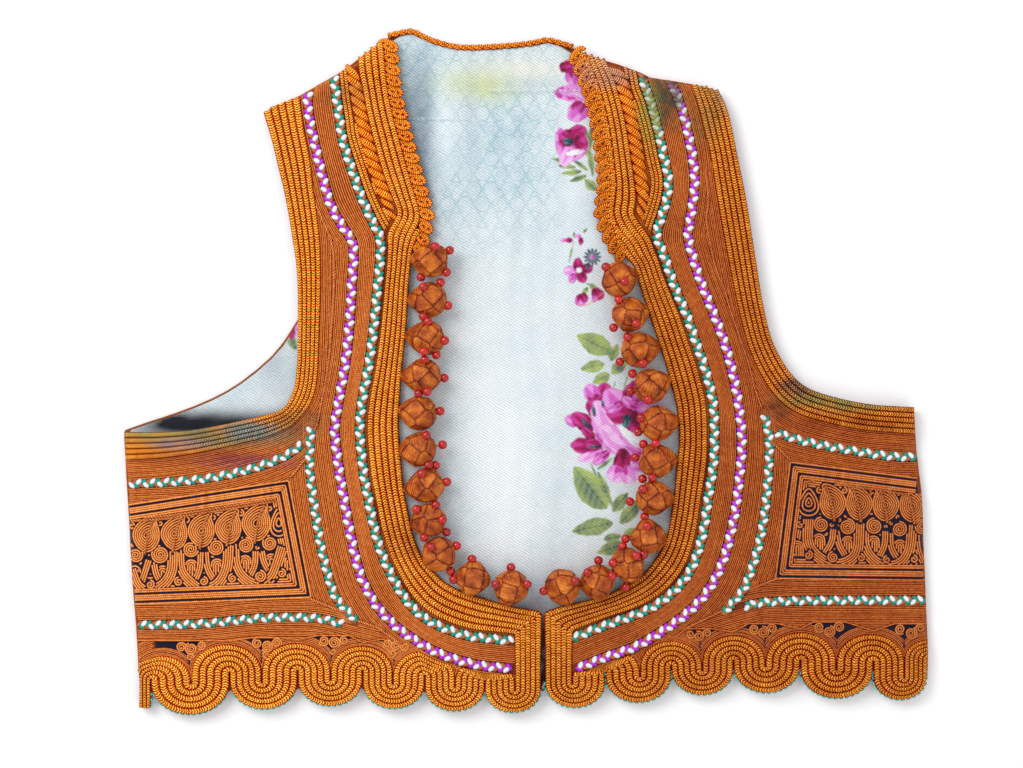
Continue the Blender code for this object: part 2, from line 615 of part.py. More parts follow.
def hem_line(side, inset):
    """The scalloped lower edge, from the side to the centre front, set in by this much."""
    turns = RIGHT_HEM if side == "right" else LEFT_HEM
    way = 1 if side == "right" else -1
    line = []
    for k in range(1, len(turns), 2):
        x, y = turns[k]
        before = abs(x - turns[k - 1][0])
        after = abs(turns[k + 1][0] - x) if k + 1 < len(turns) else abs(CORNER[side][0][0] - x)
        for n in range(1, 10):
            turn = math.pi * n / 10
            reach = before + (after - before) * (0.5 - 0.5 * math.cos(turn)) - inset
            place = np.array((x - way * reach * math.cos(turn), y - HEM_SQUASH * reach * math.sin(turn)))
            line.append(side_of_fold(place, side))
    if side == "right":
        line = [(-211.4, HEM_TAIL + 0.2), (-207.2, HEM_TAIL + 0.8), (-206.2, -180.0)] + line
    return np.array(line)


def front_outline(side):
    sign = 1 if side == "right" else -1
    rows = front_band_rows(side)
    edge = np.array([row[0] for row in rows] + [CORNER[side][0]])
    edge = shifted(edge, -EDGE_INSET * sign)
    corner = CORNER[side][0]
    centre = np.array([(corner[0] - EDGE_INSET * sign, corner[1] - 1),
                       (corner[0] - EDGE_INSET * sign, -165.0)])
    arm = smooth(RIGHT_ARM_ROWS if side == "right" else LEFT_ARM_ROWS, 11)[:, :2]
    arm = shifted(arm, EDGE_INSET * sign)
    shoulder = smooth(RIGHT_SHOULDER, 9) if side == "right" else smooth(LEFT_SHOULDER, 9)[::-1]
    fold = smooth(RIGHT_SIDE if side == "right" else LEFT_SIDE, 16)
    hem = hem_line(side, EDGE_INSET)[::-1]
    lines = [edge, centre, hem, fold[::-1], arm[::-1], shoulder]
    return joined(lines)


def lower_line(side):
    """A plain lower edge for the lining, inside the scallops."""
    turns = RIGHT_HEM if side == "right" else LEFT_HEM
    return np.array([(x, y + 2) for x, y in turns[1::2]])[0 if side == "right" else 1:] \
        + ((0, 0) if side == "right" else (0, 1))


def back_outline(inset_neck, inset_shoulder, inset_arm, inset_side, inset_hem=None):
    neck = shifted(smooth(BACK_NECK, 9), -inset_neck)
    left_shoulder = shifted(smooth(LEFT_SHOULDER, 12), -inset_shoulder)
    rows = smooth(LEFT_ARM_ROWS, 11)
    hidden = shifted(rows[:, :2] + (rows[:, 2:] - rows[:, :2]) * 0.3, -inset_arm)
    left_side = shifted(smooth(LEFT_SIDE, 20), -inset_side)
    hem = [hem_line("left", inset_hem), hem_line("right", inset_hem)[::-1]] if inset_hem is not None \
        else [np.vstack([lower_line("left"), lower_line("right")[::-1]])]
    right_side = shifted(smooth(RIGHT_SIDE, 20)[::-1], -inset_side)
    arm = shifted(smooth(BACK_RIGHT_ARM, 9), -inset_arm)
    right_shoulder = shifted(smooth(RIGHT_SHOULDER, 12), -inset_shoulder)
    return joined([neck, left_shoulder, hidden, left_side, *hem, right_side, arm, right_shoulder])


# Back and lining.

plate("back_cloth", back_outline(0.0, 0.0, 0.0, 0.0, 1.5), BACK_THICK, 0.0, BACK)

lining_outline = back_outline(3.4, 9.0, 1.2, 11.0)
lining_inner = grid_inside(lining_outline, 26, 9)
visible = (lining_inner[:, 0] > -95) & (lining_inner[:, 0] < 100) | (lining_inner[:, 0] < -110)
wrinkled = np.array([(x, y) for y in np.arange(-100, 175, 22.0) for x in (-67, -57, -48, -38, -22, -6, 12)])
wrinkled = wrinkled[inside(wrinkled, lining_outline)]
lining_inner = lining_inner[visible]
lining_inner = lining_inner[np.array([np.linalg.norm(wrinkled - p, axis=1).min() > 12 for p in lining_inner])]
panel("back_lining", lining_outline, np.vstack([wrinkled, lining_inner]), lining_top,
      lambda p: lining_top(p) - LINING_THICK, PRINT)

neck_line = shifted(smooth(BACK_NECK, 7), -NECK_CORD)[1:-1]
neck_rings = []
for middle, across in zip(neck_line, normals(neck_line)):
    height = BACK_THICK + SEAM + NECK_CORD
    neck_rings.append([(*(middle + across * NECK_CORD * math.cos(a)), height + NECK_CORD * math.sin(a))
                       for a in np.linspace(0, 2 * math.pi, 7)[:-1]])
loft("back_neck_cord", neck_rings, GOLD)


# Fronts.

for side in ("right", "left"):
    folds = FOLDS[:2] if side == "right" else FOLDS[2:]
    outline = marked_near_folds(front_outline(side), folds)
    curl = fold_points(outline, folds, 20)
    inner = grid_inside(outline, 21, 9)
    inner = inner[np.array([np.linalg.norm(curl - p, axis=1).min() > 6 for p in inner])]
    panel(side + "_front_cloth", outline, np.vstack([curl, inner]), front_top, front_under, MATTE)

    # Front edge and hem, one run of five cords with a mitred corner.
    edge_rows = front_band_rows(side)
    edge_rows = [edge_rows[0]] + rows_near_fold(edge_rows[0], edge_rows[1]) + edge_rows[1:]
    corner = tuple(np.array(p) for p in CORNER[side])
    run = hem_rows(side)
    run = [tuple(side_of_fold(p, side) for p in row) for row in run]
    last = run[-1]
    run.append(tuple((a + np.array((a[0], b[1]))) / 2 for a, b in zip(last, corner)))
    run.append(corner)
    run += edge_rows[::-1]
    loft(side + "_edge_and_hem_cords", [band_ring(*row) for row in run], GOLD)

    # Armhole.
    rows = smooth(RIGHT_ARM_ROWS if side == "right" else LEFT_ARM_ROWS, 12)
    rows = [(row[:2], row[2:]) for row in rows]
    ends = rows_near_fold(rows[-1], rows[-2])[::-1]
    rows = [rows[0]] + rows_near_fold(rows[0], rows[1]) + rows[1:-1] + ends + [rows[-1]]
    loft(side + "_armhole_cords", [band_ring(*row, crest=2.0) for row in rows], GOLD)

    # Looped edging of the neck.
    sign = 1 if side == "right" else -1
    table = RIGHT_FRONT_ROWS if side == "right" else LEFT_FRONT_ROWS
    edge = smooth(np.array(table)[:NECK_ROWS[side] + 1, :2], 3)
    loops = round(np.linalg.norm(np.diff(edge, axis=0), axis=1).sum() / LOOP_PITCH)
    edge = respaced(edge, LOOP_PITCH / 3)[:3 * loops + 1]
    out = normals(edge) * sign
    rings = []
    for k, (at, way) in enumerate(zip(edge, out)):
        full = (0.55, 1.0, 0.92)[k % 3] * (0.6 if k > len(edge) - 4 else 1)
        places = np.array([at + way * SEAM, at + way * (SEAM + LOOP_DEEP * full * 0.5),
                           at + way * (SEAM + LOOP_DEEP * full)])
        base = float(front_top(at[None])[0]) - 1.2
        lift = (LOOP_HIGH * 0.75, LOOP_HIGH * (0.7 + 0.3 * full), LOOP_HIGH * 0.5)
        upper = [(*p, base + h) for p, h in zip(places, lift)]
        rings.append(upper + [(*places[2], base), (*places[0], base)])
    loft(side + "_neck_loops", rings, GOLD)

    # Rope column between the neck band and the green braid.
    rope = smooth(np.array(table)[1:NECK_ROWS[side] - 1, 2:], 3)
    rope = respaced(rope, ROPE_LOBE / 2)
    strip(side + "_neck_rope", rope, ROPE_WIDE, ROPE_HIGH, GOLD, wave=(0.82, 1.0))

    # Braids.
    for name, line, material in (("green", RIGHT_GREEN if side == "right" else LEFT_GREEN, GREEN),
                                 ("violet", RIGHT_VIOLET if side == "right" else LEFT_VIOLET, VIOLET)):
        line = with_fold_rows(smooth(line, 12), at_start=True)
        strip(f"{side}_{name}_braid", line, BRAID_WIDE, BRAID_HIGH, material)
    for name, line in SIDE_BRAIDS[side].items():
        line = with_fold_rows(smooth(line, 13), at_end=name != "front")
        strip(f"{side}_side_{name}_braid", line, BRAID_WIDE - 0.5, BRAID_HIGH, GREEN)

    # Embroidered panel, with leaves and spirals raised on it.
    shape = PANELS[side]
    corners = np.array(shape["corners"])
    fold = folds[0] if side == "right" else folds[1]
    border = []
    for a, b in zip(corners, np.roll(corners, -1, 0)):
        parts = max(1, round(np.linalg.norm(b - a) / 14))
        border += [a + (b - a) * n / parts for n in range(parts)]
    border = marked_near_folds(np.array([side_of_fold(p, side) for p in border]), [fold])
    lean = -0.35 * sign
    motif, lift = [], []
    for x, y in shape["leaves"]:
        for n in range(8):
            turn = 2 * math.pi * n / 8
            across, along = math.cos(turn) * LEAF_WIDE / 2 * 0.92, math.sin(turn) * LEAF_LONG / 2 * 0.86
            motif.append((x + across - lean * along * 0.5, y + along))
            lift.append(0.35)
        for part in (-0.4, 0.0, 0.45):
            motif.append((x - lean * part * LEAF_LONG * 0.5, y + part * LEAF_LONG))
            lift.append(LEAF_HIGH)
    for x, y in shape["spirals"]:
        motif.append((x, y - 1.0))
        lift.append(0.9)
    motif, lift = np.array(motif), np.array(lift)
    keep = inside(motif, border) & (to_line(motif, np.vstack([border, border[:1]])) > 1.5)
    motif, lift = motif[keep], lift[keep]
    curl = fold_points(border, [fold], 12)
    far = np.array([np.linalg.norm(motif - p, axis=1).min() > 2.5 for p in curl], bool)
    curl = curl[far]

    def raised(flat, motif=motif, lift=lift):
        near = np.linalg.norm(flat[:, None] - motif, axis=2)
        nearest = near.argmin(1)
        return front_top(flat) + SEAM + 0.8 + np.where(near.min(1) < 0.05, lift[nearest], 0.1)

    panel(side + "_side_embroidery", border, np.vstack([curl, motif]), raised,
          lambda p: front_top(p) + SEAM + 0.6 * (1 - fold_curl(p)), NAVY)

    # Knotted balls, each with its point towards the front edge.
    edge = np.array([row[0] for row in edge_rows])
    for number, (x, y) in enumerate(RIGHT_KNOTS if side == "right" else LEFT_KNOTS, 1):
        work = bmesh.new()
        bmesh.ops.create_icosphere(work, subdivisions=1, radius=KNOT_RADIUS)
        way = edge[np.linalg.norm(edge - (x, y), axis=1).argmin()] - (x, y)
        reach = np.linalg.norm(way)
        way /= reach
        turn = math.atan2(way[1], way[0])
        ball = np.array([tuple(v.co) for v in work.verts])
        faces = [tuple(v.index for v in face.verts) for face in work.faces]
        work.free()
        tip = ball[:, 0].argmax()
        ball[:, 2] *= 0.97
        ball[tip] = (min(KNOT_SHANK, reach - 0.8), 0, -KNOT_RADIUS * 0.1)
        turned = ball.copy()
        turned[:, 0] = ball[:, 0] * math.cos(turn) - ball[:, 1] * math.sin(turn) + x
        turned[:, 1] = ball[:, 0] * math.sin(turn) + ball[:, 1] * math.cos(turn) + y
        floor = float(lining_top(np.array([(x, y)])).max()) + SEAM
        turned[:, 2] += floor - turned[:, 2].min()
        new_object(f"{side}_knot_{number}", turned, faces, KNOT)

# Hook and bar that close the fronts, a small wire link in the gap between them.
gap_x, gap_y, gap_wide, link_long, wire = 9.4, -172.0, 4.2, 3.6, 0.4
link_wide = gap_wide / 2 - SEAM - wire
middle_line = []
for n in range(12):
    turn = 2 * math.pi * n / 12
    middle_line.append(np.array((gap_x + link_wide * math.cos(turn), gap_y + link_long * math.sin(turn))))
rings = []
for k, at in enumerate(middle_line):
    way = middle_line[(k + 1) % 12] - middle_line[k - 1]
    way /= np.linalg.norm(way)
    across = np.array((-way[1], way[0]))
    rings.append([(*(at + across * wire * math.cos(a)), LINING_TOP + 2.2 + wire * math.sin(a))
                  for a in np.linspace(0, 2 * math.pi, 6)[:-1]])
loft("front_hook", rings, METAL, closed=True)
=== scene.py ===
"""Looks of the embroidered folk vest: every cord, stitch, braid, bead and the printed lining, built
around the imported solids. Places are in millimetres on the table plane, X towards the wearer's left
and Y towards the neck, and become metres when a mesh is made. "right" and "left" are the wearer's.
"""

import math

import bmesh
import bpy
import numpy as np
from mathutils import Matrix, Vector
from mathutils.geometry import delaunay_2d_cdt
from numpy.linalg import norm


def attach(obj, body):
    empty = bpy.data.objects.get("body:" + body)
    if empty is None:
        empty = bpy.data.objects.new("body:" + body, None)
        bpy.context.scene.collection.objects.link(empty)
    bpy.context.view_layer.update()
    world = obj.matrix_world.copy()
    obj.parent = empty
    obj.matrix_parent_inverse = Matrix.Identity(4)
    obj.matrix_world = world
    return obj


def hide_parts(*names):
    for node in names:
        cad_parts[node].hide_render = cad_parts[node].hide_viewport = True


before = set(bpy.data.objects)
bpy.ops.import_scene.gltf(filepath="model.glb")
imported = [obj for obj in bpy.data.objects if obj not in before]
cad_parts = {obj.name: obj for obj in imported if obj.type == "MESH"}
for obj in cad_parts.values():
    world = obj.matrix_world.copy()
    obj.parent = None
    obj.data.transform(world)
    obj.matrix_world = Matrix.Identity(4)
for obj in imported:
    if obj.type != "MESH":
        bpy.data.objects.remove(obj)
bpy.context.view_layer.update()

rng = np.random.default_rng(7)

TAU = 2 * math.pi
SIDES = ("right", "left")
SIGN = {"right": 1, "left": -1}  # the way from the side to the centre front, along X
PHOTO_SCALE = 0.55  # millimetres on the vest to a pixel of the photograph
PHOTO_MIDDLE, PHOTO_SIZE = (526, 371), (1023, 768)  # the pixel at 0, 0, and the pixels across and down

# Sizes in millimetres.
BACK_THICK = 2.0  # back cloth with its cords, pressed flat
LINING_THICK = 1.0
SEAM = 0.3  # gap between pieces
FRONT_THICK = 2.4  # front cloth with its fine cords
CORDS = 5  # thick cords in a band
CORD_HIGH = 2.5
STITCH = 1.42  # one stitch of a thick cord
EDGE_INSET = 0.6  # the cords overhang the cloth by this much
BRAID_WIDE = 6.9
BRAID_LOBE = 2.72  # from one plait of a braid to the next on the same side
STRAND_REACH = 2.75  # from the middle of a braid to its scalloped edge
FOLD_ROUND = 6.0  # how far in from a side or shoulder fold the cloth curls down
FOLD_REACH = 9.0  # how far a line is run on to meet a fold or another line
RIM_TOP = 3.4  # height of the cloth at a fold
FINE_PITCH, FINE_HIGH = 1.0, 0.8
INLAY_PITCH = 1.22  # cords of the side panels
KNOT_RADIUS, KNOT_SHANK, BEAD_RADIUS = 9.3, 11.0, 2.5
NECK_CORD = 1.5  # radius of the cord round the back of the neck
HEM_SQUASH = 0.8  # height of a hem curve over its half width
HEM_STEPS = 20  # rows in each curve of the hem
SLIT = 0.03  # gap left where two arms of the hem band lie side by side, in half widths
LEAST_GAP = 0.4  # between points of an outline

# Places across a thick cord, a strand and a fine cord, where its half width is 1.
ROUND = np.array((-1.0, -0.72, -0.28, 0.28, 0.72, 1.0))
STRAND = np.array((-1.0, -0.6, 0.0, 0.6, 1.0))
RIDGE = np.array((-1.0, 0.0, 1.0))

LINING_TOP = BACK_THICK + SEAM + LINING_THICK
FRONT_REST = LINING_TOP + SEAM + 0.2  # underside of the fronts
FRONT_TOP = FRONT_REST + FRONT_THICK

# Band of five cords down each front edge. Each row goes across it: a point on the outer edge, then
# a point on the middle of what lies beside it (the rope column at the neck, then the green braid).
EDGE = {
    "right": (
        (-78.1, 181.5, -95.2, 170.5), (-77, 171, -95.7, 164.5), (-75.4, 154.6, -93.5, 153.5),
        (-72.6, 140.8, -90.8, 139.2), (-68.2, 124.3, -86.4, 121.6), (-64.4, 110.6, -82.5, 108.4),
        (-60.5, 96.8, -77.6, 95.2), (-57.8, 85.8, -74.8, 86), (-58.9, 76.5, -79.8, 75.4),
        (-62.2, 66.6, -79.8, 68.2), (-63.3, 58.3, -80.3, 58.3), (-64.4, 47.3, -81.4, 47.3),
        (-66, 22.6, -83.6, 23.7), (-68.2, 0.6, -86.4, 2.8), (-69.3, -16, -89.7, -14.9),
        (-69.9, -32.5, -91.3, -32.5), (-68.2, -54.5, -89.1, -56.7), (-67.1, -65.5, -86.9, -68.2),
        (-64.9, -76.5, -84.7, -79.8), (-62.7, -87.5, -82, -91.3), (-59.4, -97.4, -78.1, -102.9),
        (-55.6, -105, -73.2, -113.3), (-50, -111, -67.1, -123.8), (-44.6, -116, -58.9, -133.1),
        (-36.3, -120.5, -48.4, -139.7), (-25.3, -124.3, -33, -145.2), (-14.3, -127.6, -19.8, -146.9),
        (-6, -129.8, -9.9, -148),
    ),
    "left": (
        (28.6, 176.6, 46.8, 169.4), (31.9, 168.3, 50, 164.5), (35.2, 160, 52.8, 159),
        (38, 151.8, 55, 151.3), (40.2, 143.6, 57.2, 143), (42.4, 132.6, 59.4, 132), (44, 121.6, 61, 121),
        (45.1, 110.6, 62.7, 110.6), (45.7, 102.3, 63.8, 102.3), (44.6, 94.1, 64.4, 94),
        (44, 86.9, 63.3, 86.4), (45.7, 79.8, 67.1, 79.8), (49.5, 72, 72, 73.2), (54.5, 63.8, 74.8, 66),
        (58.9, 58.3, 77, 60), (61, 52.8, 78.7, 54.5), (63.3, 44.6, 82.5, 44), (68.8, 28, 88.6, 29.7),
        (74.3, 11.6, 94, 13.8), (77.6, 0.6, 97.9, 2.8), (82, -16, 102.3, -14.3), (83.6, -27, 103.4, -27),
        (84.2, -38, 103.4, -39), (83.1, -49, 102.9, -51.2), (80.9, -71, 99.6, -72.6),
        (79.2, -82, 97.9, -84.7), (77.6, -90.2, 95.2, -96.3), (74.3, -98.5, 91.3, -107.3),
        (69.9, -105, 85.8, -116), (64.4, -111.7, 78.7, -123.2), (57.2, -116.6, 69.3, -129.8),
        (49, -121, 59.4, -134.2), (40.7, -124.3, 48.4, -138), (29.7, -127, 36.3, -142.5),
        (19.8, -129.3, 28, -145.8),
    ),
}
NECK_ROWS = {"right": 9, "left": 12}  # rows that lie beside the neck's looped edging
# The mitred corner at the bottom of the front edge: outer point, inner point.
CORNER = {"right": ((8.2, -132.5), (-6, -144.6)), "left": ((10.5, -132.5), (25.3, -144.6))}

# The hem band swings round these points in turn, from the side to the centre front. Cords go over
# the first of them, under the next, and so on.
HEM_TURNS = {
    "right": (
        (-206.3, -169.4), (-184, -171.6), (-162.8, -165.6), (-145.2, -171), (-125.4, -164.5),
        (-107.3, -169.9), (-89.7, -164.5), (-73.2, -172), (-55.6, -167.2), (-39, -173.8), (-22.6, -170),
        (-6, -175.4),
    ),
    "left": (
        (220.6, -158), (207.9, -168.8), (190.9, -159.5), (170.5, -164), (150.7, -159), (131.5, -162.3),
        (113.9, -159), (96.8, -164.5), (79.8, -161.7), (62.7, -167.8), (43.5, -165.6), (25.3, -171.8),
    ),
}
HEM_START = {"right": 6.6, "left": 0}  # half width of the first curve, cut short by the side fold
HEM_TAIL = -185.5  # how low the right hem's first arm reaches at the side

# Middle line of the green braid beside the neck. Below, it follows the inner points of EDGE.
GREEN_TOP = {
    "right": (
        (-105.2, 160.2), (-104, 149), (-102.3, 138), (-100.7, 127), (-95.2, 109.5), (-90.2, 95.2),
        (-84.2, 82), (-80.6, 75),
    ),
    "left": (
        (64.4, 161), (65.5, 155.7), (68.2, 149), (72.6, 132.6), (75.4, 118.8), (78.1, 106.2), (77.5, 96),
        (74.8, 85.8), (72.2, 78),
    ),
}
# Middle line of the violet braid.
VIOLET_LINE = {
    "right": (
        (-119.6, 151.6), (-120, 147), (-118.8, 138), (-116.6, 127), (-112, 107.8), (-107.3, 91.3),
        (-99.6, 77.6), (-95.7, 72), (-94.6, 63.8), (-95.7, 47.3), (-96.8, 28), (-99, 6), (-102.3, -13.2),
        (-105, -29.7), (-104.5, -40.7), (-101.8, -60), (-95.7, -93), (-90.8, -112.2), (-86.4, -121.6),
        (-81.4, -129.8), (-74.8, -137), (-66.6, -144.1), (-49, -154.6), (-28, -161.2), (-11, -163.2),
    ),
    "left": (
        (80.2, 157.6), (82.5, 152.5), (86.9, 139.7), (91.3, 118.8), (92.6, 102.3), (90.6, 85.8), (88.9, 75),
        (90.8, 65.5), (95.2, 51.2), (100.7, 37.4), (106.2, 23.7), (110.6, 10.5), (114.4, -5),
        (117.2, -21.5), (118.6, -40.7), (116.1, -68.2), (112.8, -87.5), (107.8, -105), (100.7, -119.4),
        (90.2, -131.5), (76, -142.2), (60, -151.5), (43.5, -157.3), (30.5, -162.4),
    ),
}

# Armhole band: a point on the edge, then the matching point on its inner border.
ARM = {
    "right": (
        (-143.6, 140, -124.5, 150.2), (-139.7, 127, -121.9, 132.6), (-136.4, 113.3, -118.6, 116),
        (-133.1, 99.6, -117, 101.2), (-130.4, 85.8, -115, 87.5), (-128.2, 72, -113.3, 73.2),
        (-126.5, 61, -112.8, 61), (-125.4, 44.6, -112.8, 44.6), (-125.4, 11.6, -113.9, 11.6),
        (-126, 0.6, -114.4, -0.6), (-127, -7.7, -116, -11.4), (-129.3, -14.3, -119, -19),
        (-131.8, -18.9, -123.8, -25.2), (-136.4, -22.2, -129.8, -30.7), (-145.2, -24.8, -141.9, -36),
        (-157.3, -27.5, -155.7, -39.6), (-171, -30.3, -170, -42.9), (-184.8, -32.5, -184.3, -45.7),
        (-201.3, -33.6, -201.3, -47.9), (-220.6, -33.6, -220.4, -49),
    ),
    "left": (
        (106.9, 151.6, 91.9, 155), (110.6, 143.6, 95.6, 142.5), (113.3, 132.6, 98.3, 130.9),
        (115.5, 121.6, 101.1, 119.9), (121, 94.1, 105.6, 91.9), (125.4, 66.6, 110.6, 64.4),
        (129.3, 41.8, 115.5, 39.6), (131.5, 30.8, 118.3, 27.5), (134.2, 19.8, 121.6, 15.4),
        (137.5, 11.6, 125.4, 5.5), (141.4, 4.4, 129.8, -3.3), (145.6, -1.6, 134.8, -11),
        (150.7, -6.7, 141.4, -18.2), (157.3, -10.6, 150.7, -24), (167.2, -13.8, 163.9, -28),
        (178.2, -16.5, 176, -30.8), (192, -18.7, 190.3, -33), (213, -20, 213.6, -34.7),
    ),
}

# Outer lines of the whole garment.
SIDE_FOLD = {
    "right": (
        (-221.4, -33), (-220.3, -54.5), (-218.6, -82), (-216.9, -115), (-214.8, -139.7), (-213.5, -161.7),
        (-212, -186),
    ),
    "left": (
        (213.6, -19.6), (215, -43.5), (217.8, -65.5), (219, -93), (220.2, -126), (221.4, -153.5),
        (221.2, -167.2), (219.7, -175.5),
    ),
}
SHOULDER = {
    "right": (
        (-144.4, 142), (-139.5, 145.6), (-124.3, 151.8), (-113.3, 158.2), (-103.4, 163.8), (-96.8, 168.4),
        (-85.8, 177), (-78.1, 182.5), (-69.6, 187.8),
    ),
    "left": (
        (20, 182), (27, 177.4), (35.2, 173.6), (43.5, 171), (50.6, 169), (62.7, 164.5), (68.2, 161.7),
        (81.9, 159.6), (98.5, 156.6), (107.8, 153.4),
    ),
}
BACK_NECK = (
    (-69.6, 187.8), (-62, 188.52), (-52, 183.8), (-36.3, 179.9), (-14.3, 180.4), (2.2, 182), (11.6, 183.8),
    (20, 182),
)
# The back's armhole shows inside the right front's, and is hidden on the other side.
BACK_RIGHT_ARM = (
    (-221, -32.5), (-206.8, -27.5), (-193, -23), (-173.8, -15.4), (-157.3, -6), (-140.8, 7.7), (-132, 18.7),
    (-125.4, 29.2), (-122.4, 39), (-121.5, 55.6), (-123.8, 72), (-128.7, 94), (-133.7, 116),
    (-139.7, 133.7), (-143.6, 141),
)

# Braids of the side panels, each from the middle of the front to the side fold or its far end.
SIDE_BRAIDS = {
    "right": {
        "upper": (
            (-124.2, -40.9), (-132, -46.4), (-146.3, -52.3), (-168.3, -57.8), (-190, -60.6),
            (-220.2, -62.2),
        ),
        "front": (
            (-118.4, -34.8), (-118.8, -46.2), (-118.6, -57), (-116, -76), (-112.2, -98), (-106.2, -120.4),
            (-101.8, -127.6), (-96.8, -133.2),
        ),
        "lower": (
            (-101.5, -138.6), (-112, -136.2), (-124.3, -135.3), (-146.3, -135.8), (-179.3, -138.9),
            (-214.8, -139.7),
        ),
    },
    "left": {
        "upper": (
            (138.6, -34.2), (146, -36.6), (157.3, -39.6), (178.2, -43.5), (200.2, -46.8), (215.2, -47.3),
        ),
        "front": (
            (131.8, -27.8), (133.7, -38), (133.1, -57.2), (130.9, -79.2), (127, -98.5), (121, -116.6),
            (116.4, -124), (111.4, -129.6),
        ),
        "lower": ((121, -129.2), (130, -127.2), (150.7, -126.2), (178.2, -126), (205, -126), (220.2, -126)),
    },
}

# Middles of the knotted balls, from the neck down.
KNOTS = {
    "right": (
        (-51.7, 60.5), (-52.8, 39), (-53.9, 18.2), (-56.1, -2.8), (-58.3, -23.1), (-58.8, -42.9),
        (-54.4, -62.7), (-53.1, -81.7), (-47.6, -100.3), (-29.2, -113.4), (-8.2, -118.3),
    ),
    "left": (
        (50.6, 50), (56.6, 30.8), (61.6, 11.5), (68.2, -8.2), (72, -28.6), (71, -49), (69.8, -69.3),
        (66.6, -90.8), (55.6, -106.2), (39, -115.5), (19.8, -117.8),
    ),
}

# Soft swells of the cloth: middle, reach along X and Y, height.
FRONT_SWELLS = (
    (-182, -14, 44, 34, 2.8), (-100, 60, 28, 70, 1.6), (-92, -110, 34, 40, 2), (-150, -120, 40, 30, 1.2),
    (180, -4, 44, 34, 2.4), (92, 80, 28, 60, 1.6), (104, -90, 32, 50, 1.8), (170, -110, 40, 30, 1.2),
    (2, -165, 44, 32, 1),
)
LINING_SWELLS = (
    (-56.5, 150, 4.5, 30, 2), (-44, 120, 6, 30, 1.3), (-10, 60, 12, 60, 0.9), (14, -20, 10, 50, 0.8),
    (-16, -60, 9, 40, 1), (10, 150, 18, 10, 0.9),
)


# Curves on the table plane.

def smooth(points, step, closed=False):
    """A Catmull-Rom curve through the points, cut into pieces of about this length."""
    rows = np.asarray(points, float)
    first, last = (rows[-1:], rows[:2]) if closed else (2 * rows[0] - rows[1], 2 * rows[-1] - rows[-2])
    rows = np.vstack([first, rows, last])
    out = []
    for p0, p1, p2, p3 in zip(rows, rows[1:], rows[2:], rows[3:]):
        length = max(norm((p2 - p1)[i:i + 2]) for i in range(0, len(p1), 2))
        parts = max(1, round(length / step))
        for n in range(parts):
            t = n / parts
            out.append(0.5 * (2 * p1 + (p2 - p0) * t + (2 * p0 - 5 * p1 + 4 * p2 - p3) * t * t
                              + (3 * p1 - p0 - 3 * p2 + p3) * t ** 3))
    return np.array(out if closed else out + [rows[-2]])


def length_along(line):
    return np.concatenate([[0], np.cumsum(norm(np.diff(line[:, :2], axis=0), axis=1))])


def respaced(points, step):
    """Points of a line at an even spacing near this step, its ends kept."""
    along = np.concatenate([[0], np.cumsum(norm(np.diff(points, axis=0), axis=1))])
    where = np.linspace(0, along[-1], max(2, round(along[-1] / step) + 1))
    return np.stack([np.interp(where, along, column) for column in points.T], 1)


def normals(line):
    """Unit vectors to the left of the way the line runs."""
    way = np.gradient(line, axis=0)
    way /= norm(way, axis=1)[:, None]
    return np.stack([-way[:, 1], way[:, 0]], 1)


def shifted(line, by):
    return line + normals(line) * by


def crossing(a, b, c, d):
    """Where segment ab meets segment cd, as a fraction of ab, or None when they miss."""
    r, s, gap = b - a, d - c, c - a
    area = r[0] * s[1] - r[1] * s[0]
    if abs(area) < 1e-9:
        return None
    at, beyond = (gap[0] * way[1] - gap[1] * way[0] for way in (s, r))
    return at / area if 0 <= at / area <= 1 and 0 <= beyond / area <= 1 else None


def run_on(line, by=FOLD_REACH):
    """The line with both ends carried straight on."""
    line = np.array(line, float)
    first, last = line[0] - line[1], line[-1] - line[-2]
    return np.vstack([line[0] + first / norm(first) * by, line, line[-1] + last / norm(last) * by])


def joined(lines):
    """A closed outline from lines that follow each other, each pair run on to where they cross."""
    lines = [run_on(line) for line in lines]
    for k in range(len(lines)):
        first, second = lines[k], lines[(k + 1) % len(lines)]
        pairs = ((i, j, crossing(*first[i:i + 2], *second[j:j + 2]))
                 for i in range(len(first) - 2, max(-1, len(first) - 14), -1)
                 for j in range(min(len(second) - 1, 12)))
        i, j, t = next((pair for pair in pairs if pair[2] is not None), (0, 0, None))
        if t is None:
            first, second = first[:-1], second[1:]
        else:
            corner = first[i] + t * (first[i + 1] - first[i])
            first, second = np.vstack([first[:i + 1], corner]), np.vstack([corner, second[j + 1:]])
        lines[k], lines[(k + 1) % len(lines)] = first, second
    outline = [lines[0][0]]
    for point in np.vstack(lines):
        if norm(point - outline[-1]) > LEAST_GAP:
            outline.append(point)
    while norm(outline[0] - outline[-1]) < LEAST_GAP:
        outline.pop()
    return np.array(outline)


def to_line(points, line, chunk=4000):
    """Distance of each point from a polyline, worked out for so many points at a time."""
    a, way = line[:-1], np.diff(line, axis=0)
    found = []
    for k in range(0, len(points), chunk):
        from_a = points[k:k + chunk, None] - a
        t = np.clip((from_a * way).sum(2) / (way * way).sum(1), 0, 1)
        found.append(norm(points[k:k + chunk, None] - (a + t[..., None] * way), axis=2).min(1))
    return np.concatenate(found)


def inside(points, outline):
    found = np.zeros(len(points), bool)
    for a, b in zip(outline, np.roll(outline, -1, 0)):
        over = (a[1] > points[:, 1]) != (b[1] > points[:, 1])
        at = (b[0] - a[0]) * (points[:, 1] - a[1]) / (b[1] - a[1] + 1e-12) + a[0]
        found ^= over & (points[:, 0] < at)
    return found


def as_loop(line):
    return np.vstack([line, line[:1]])


FOLDS = {side: {"side": smooth(SIDE_FOLD[side], 4), "shoulder": smooth(SHOULDER[side], 4)} for side in SIDES}

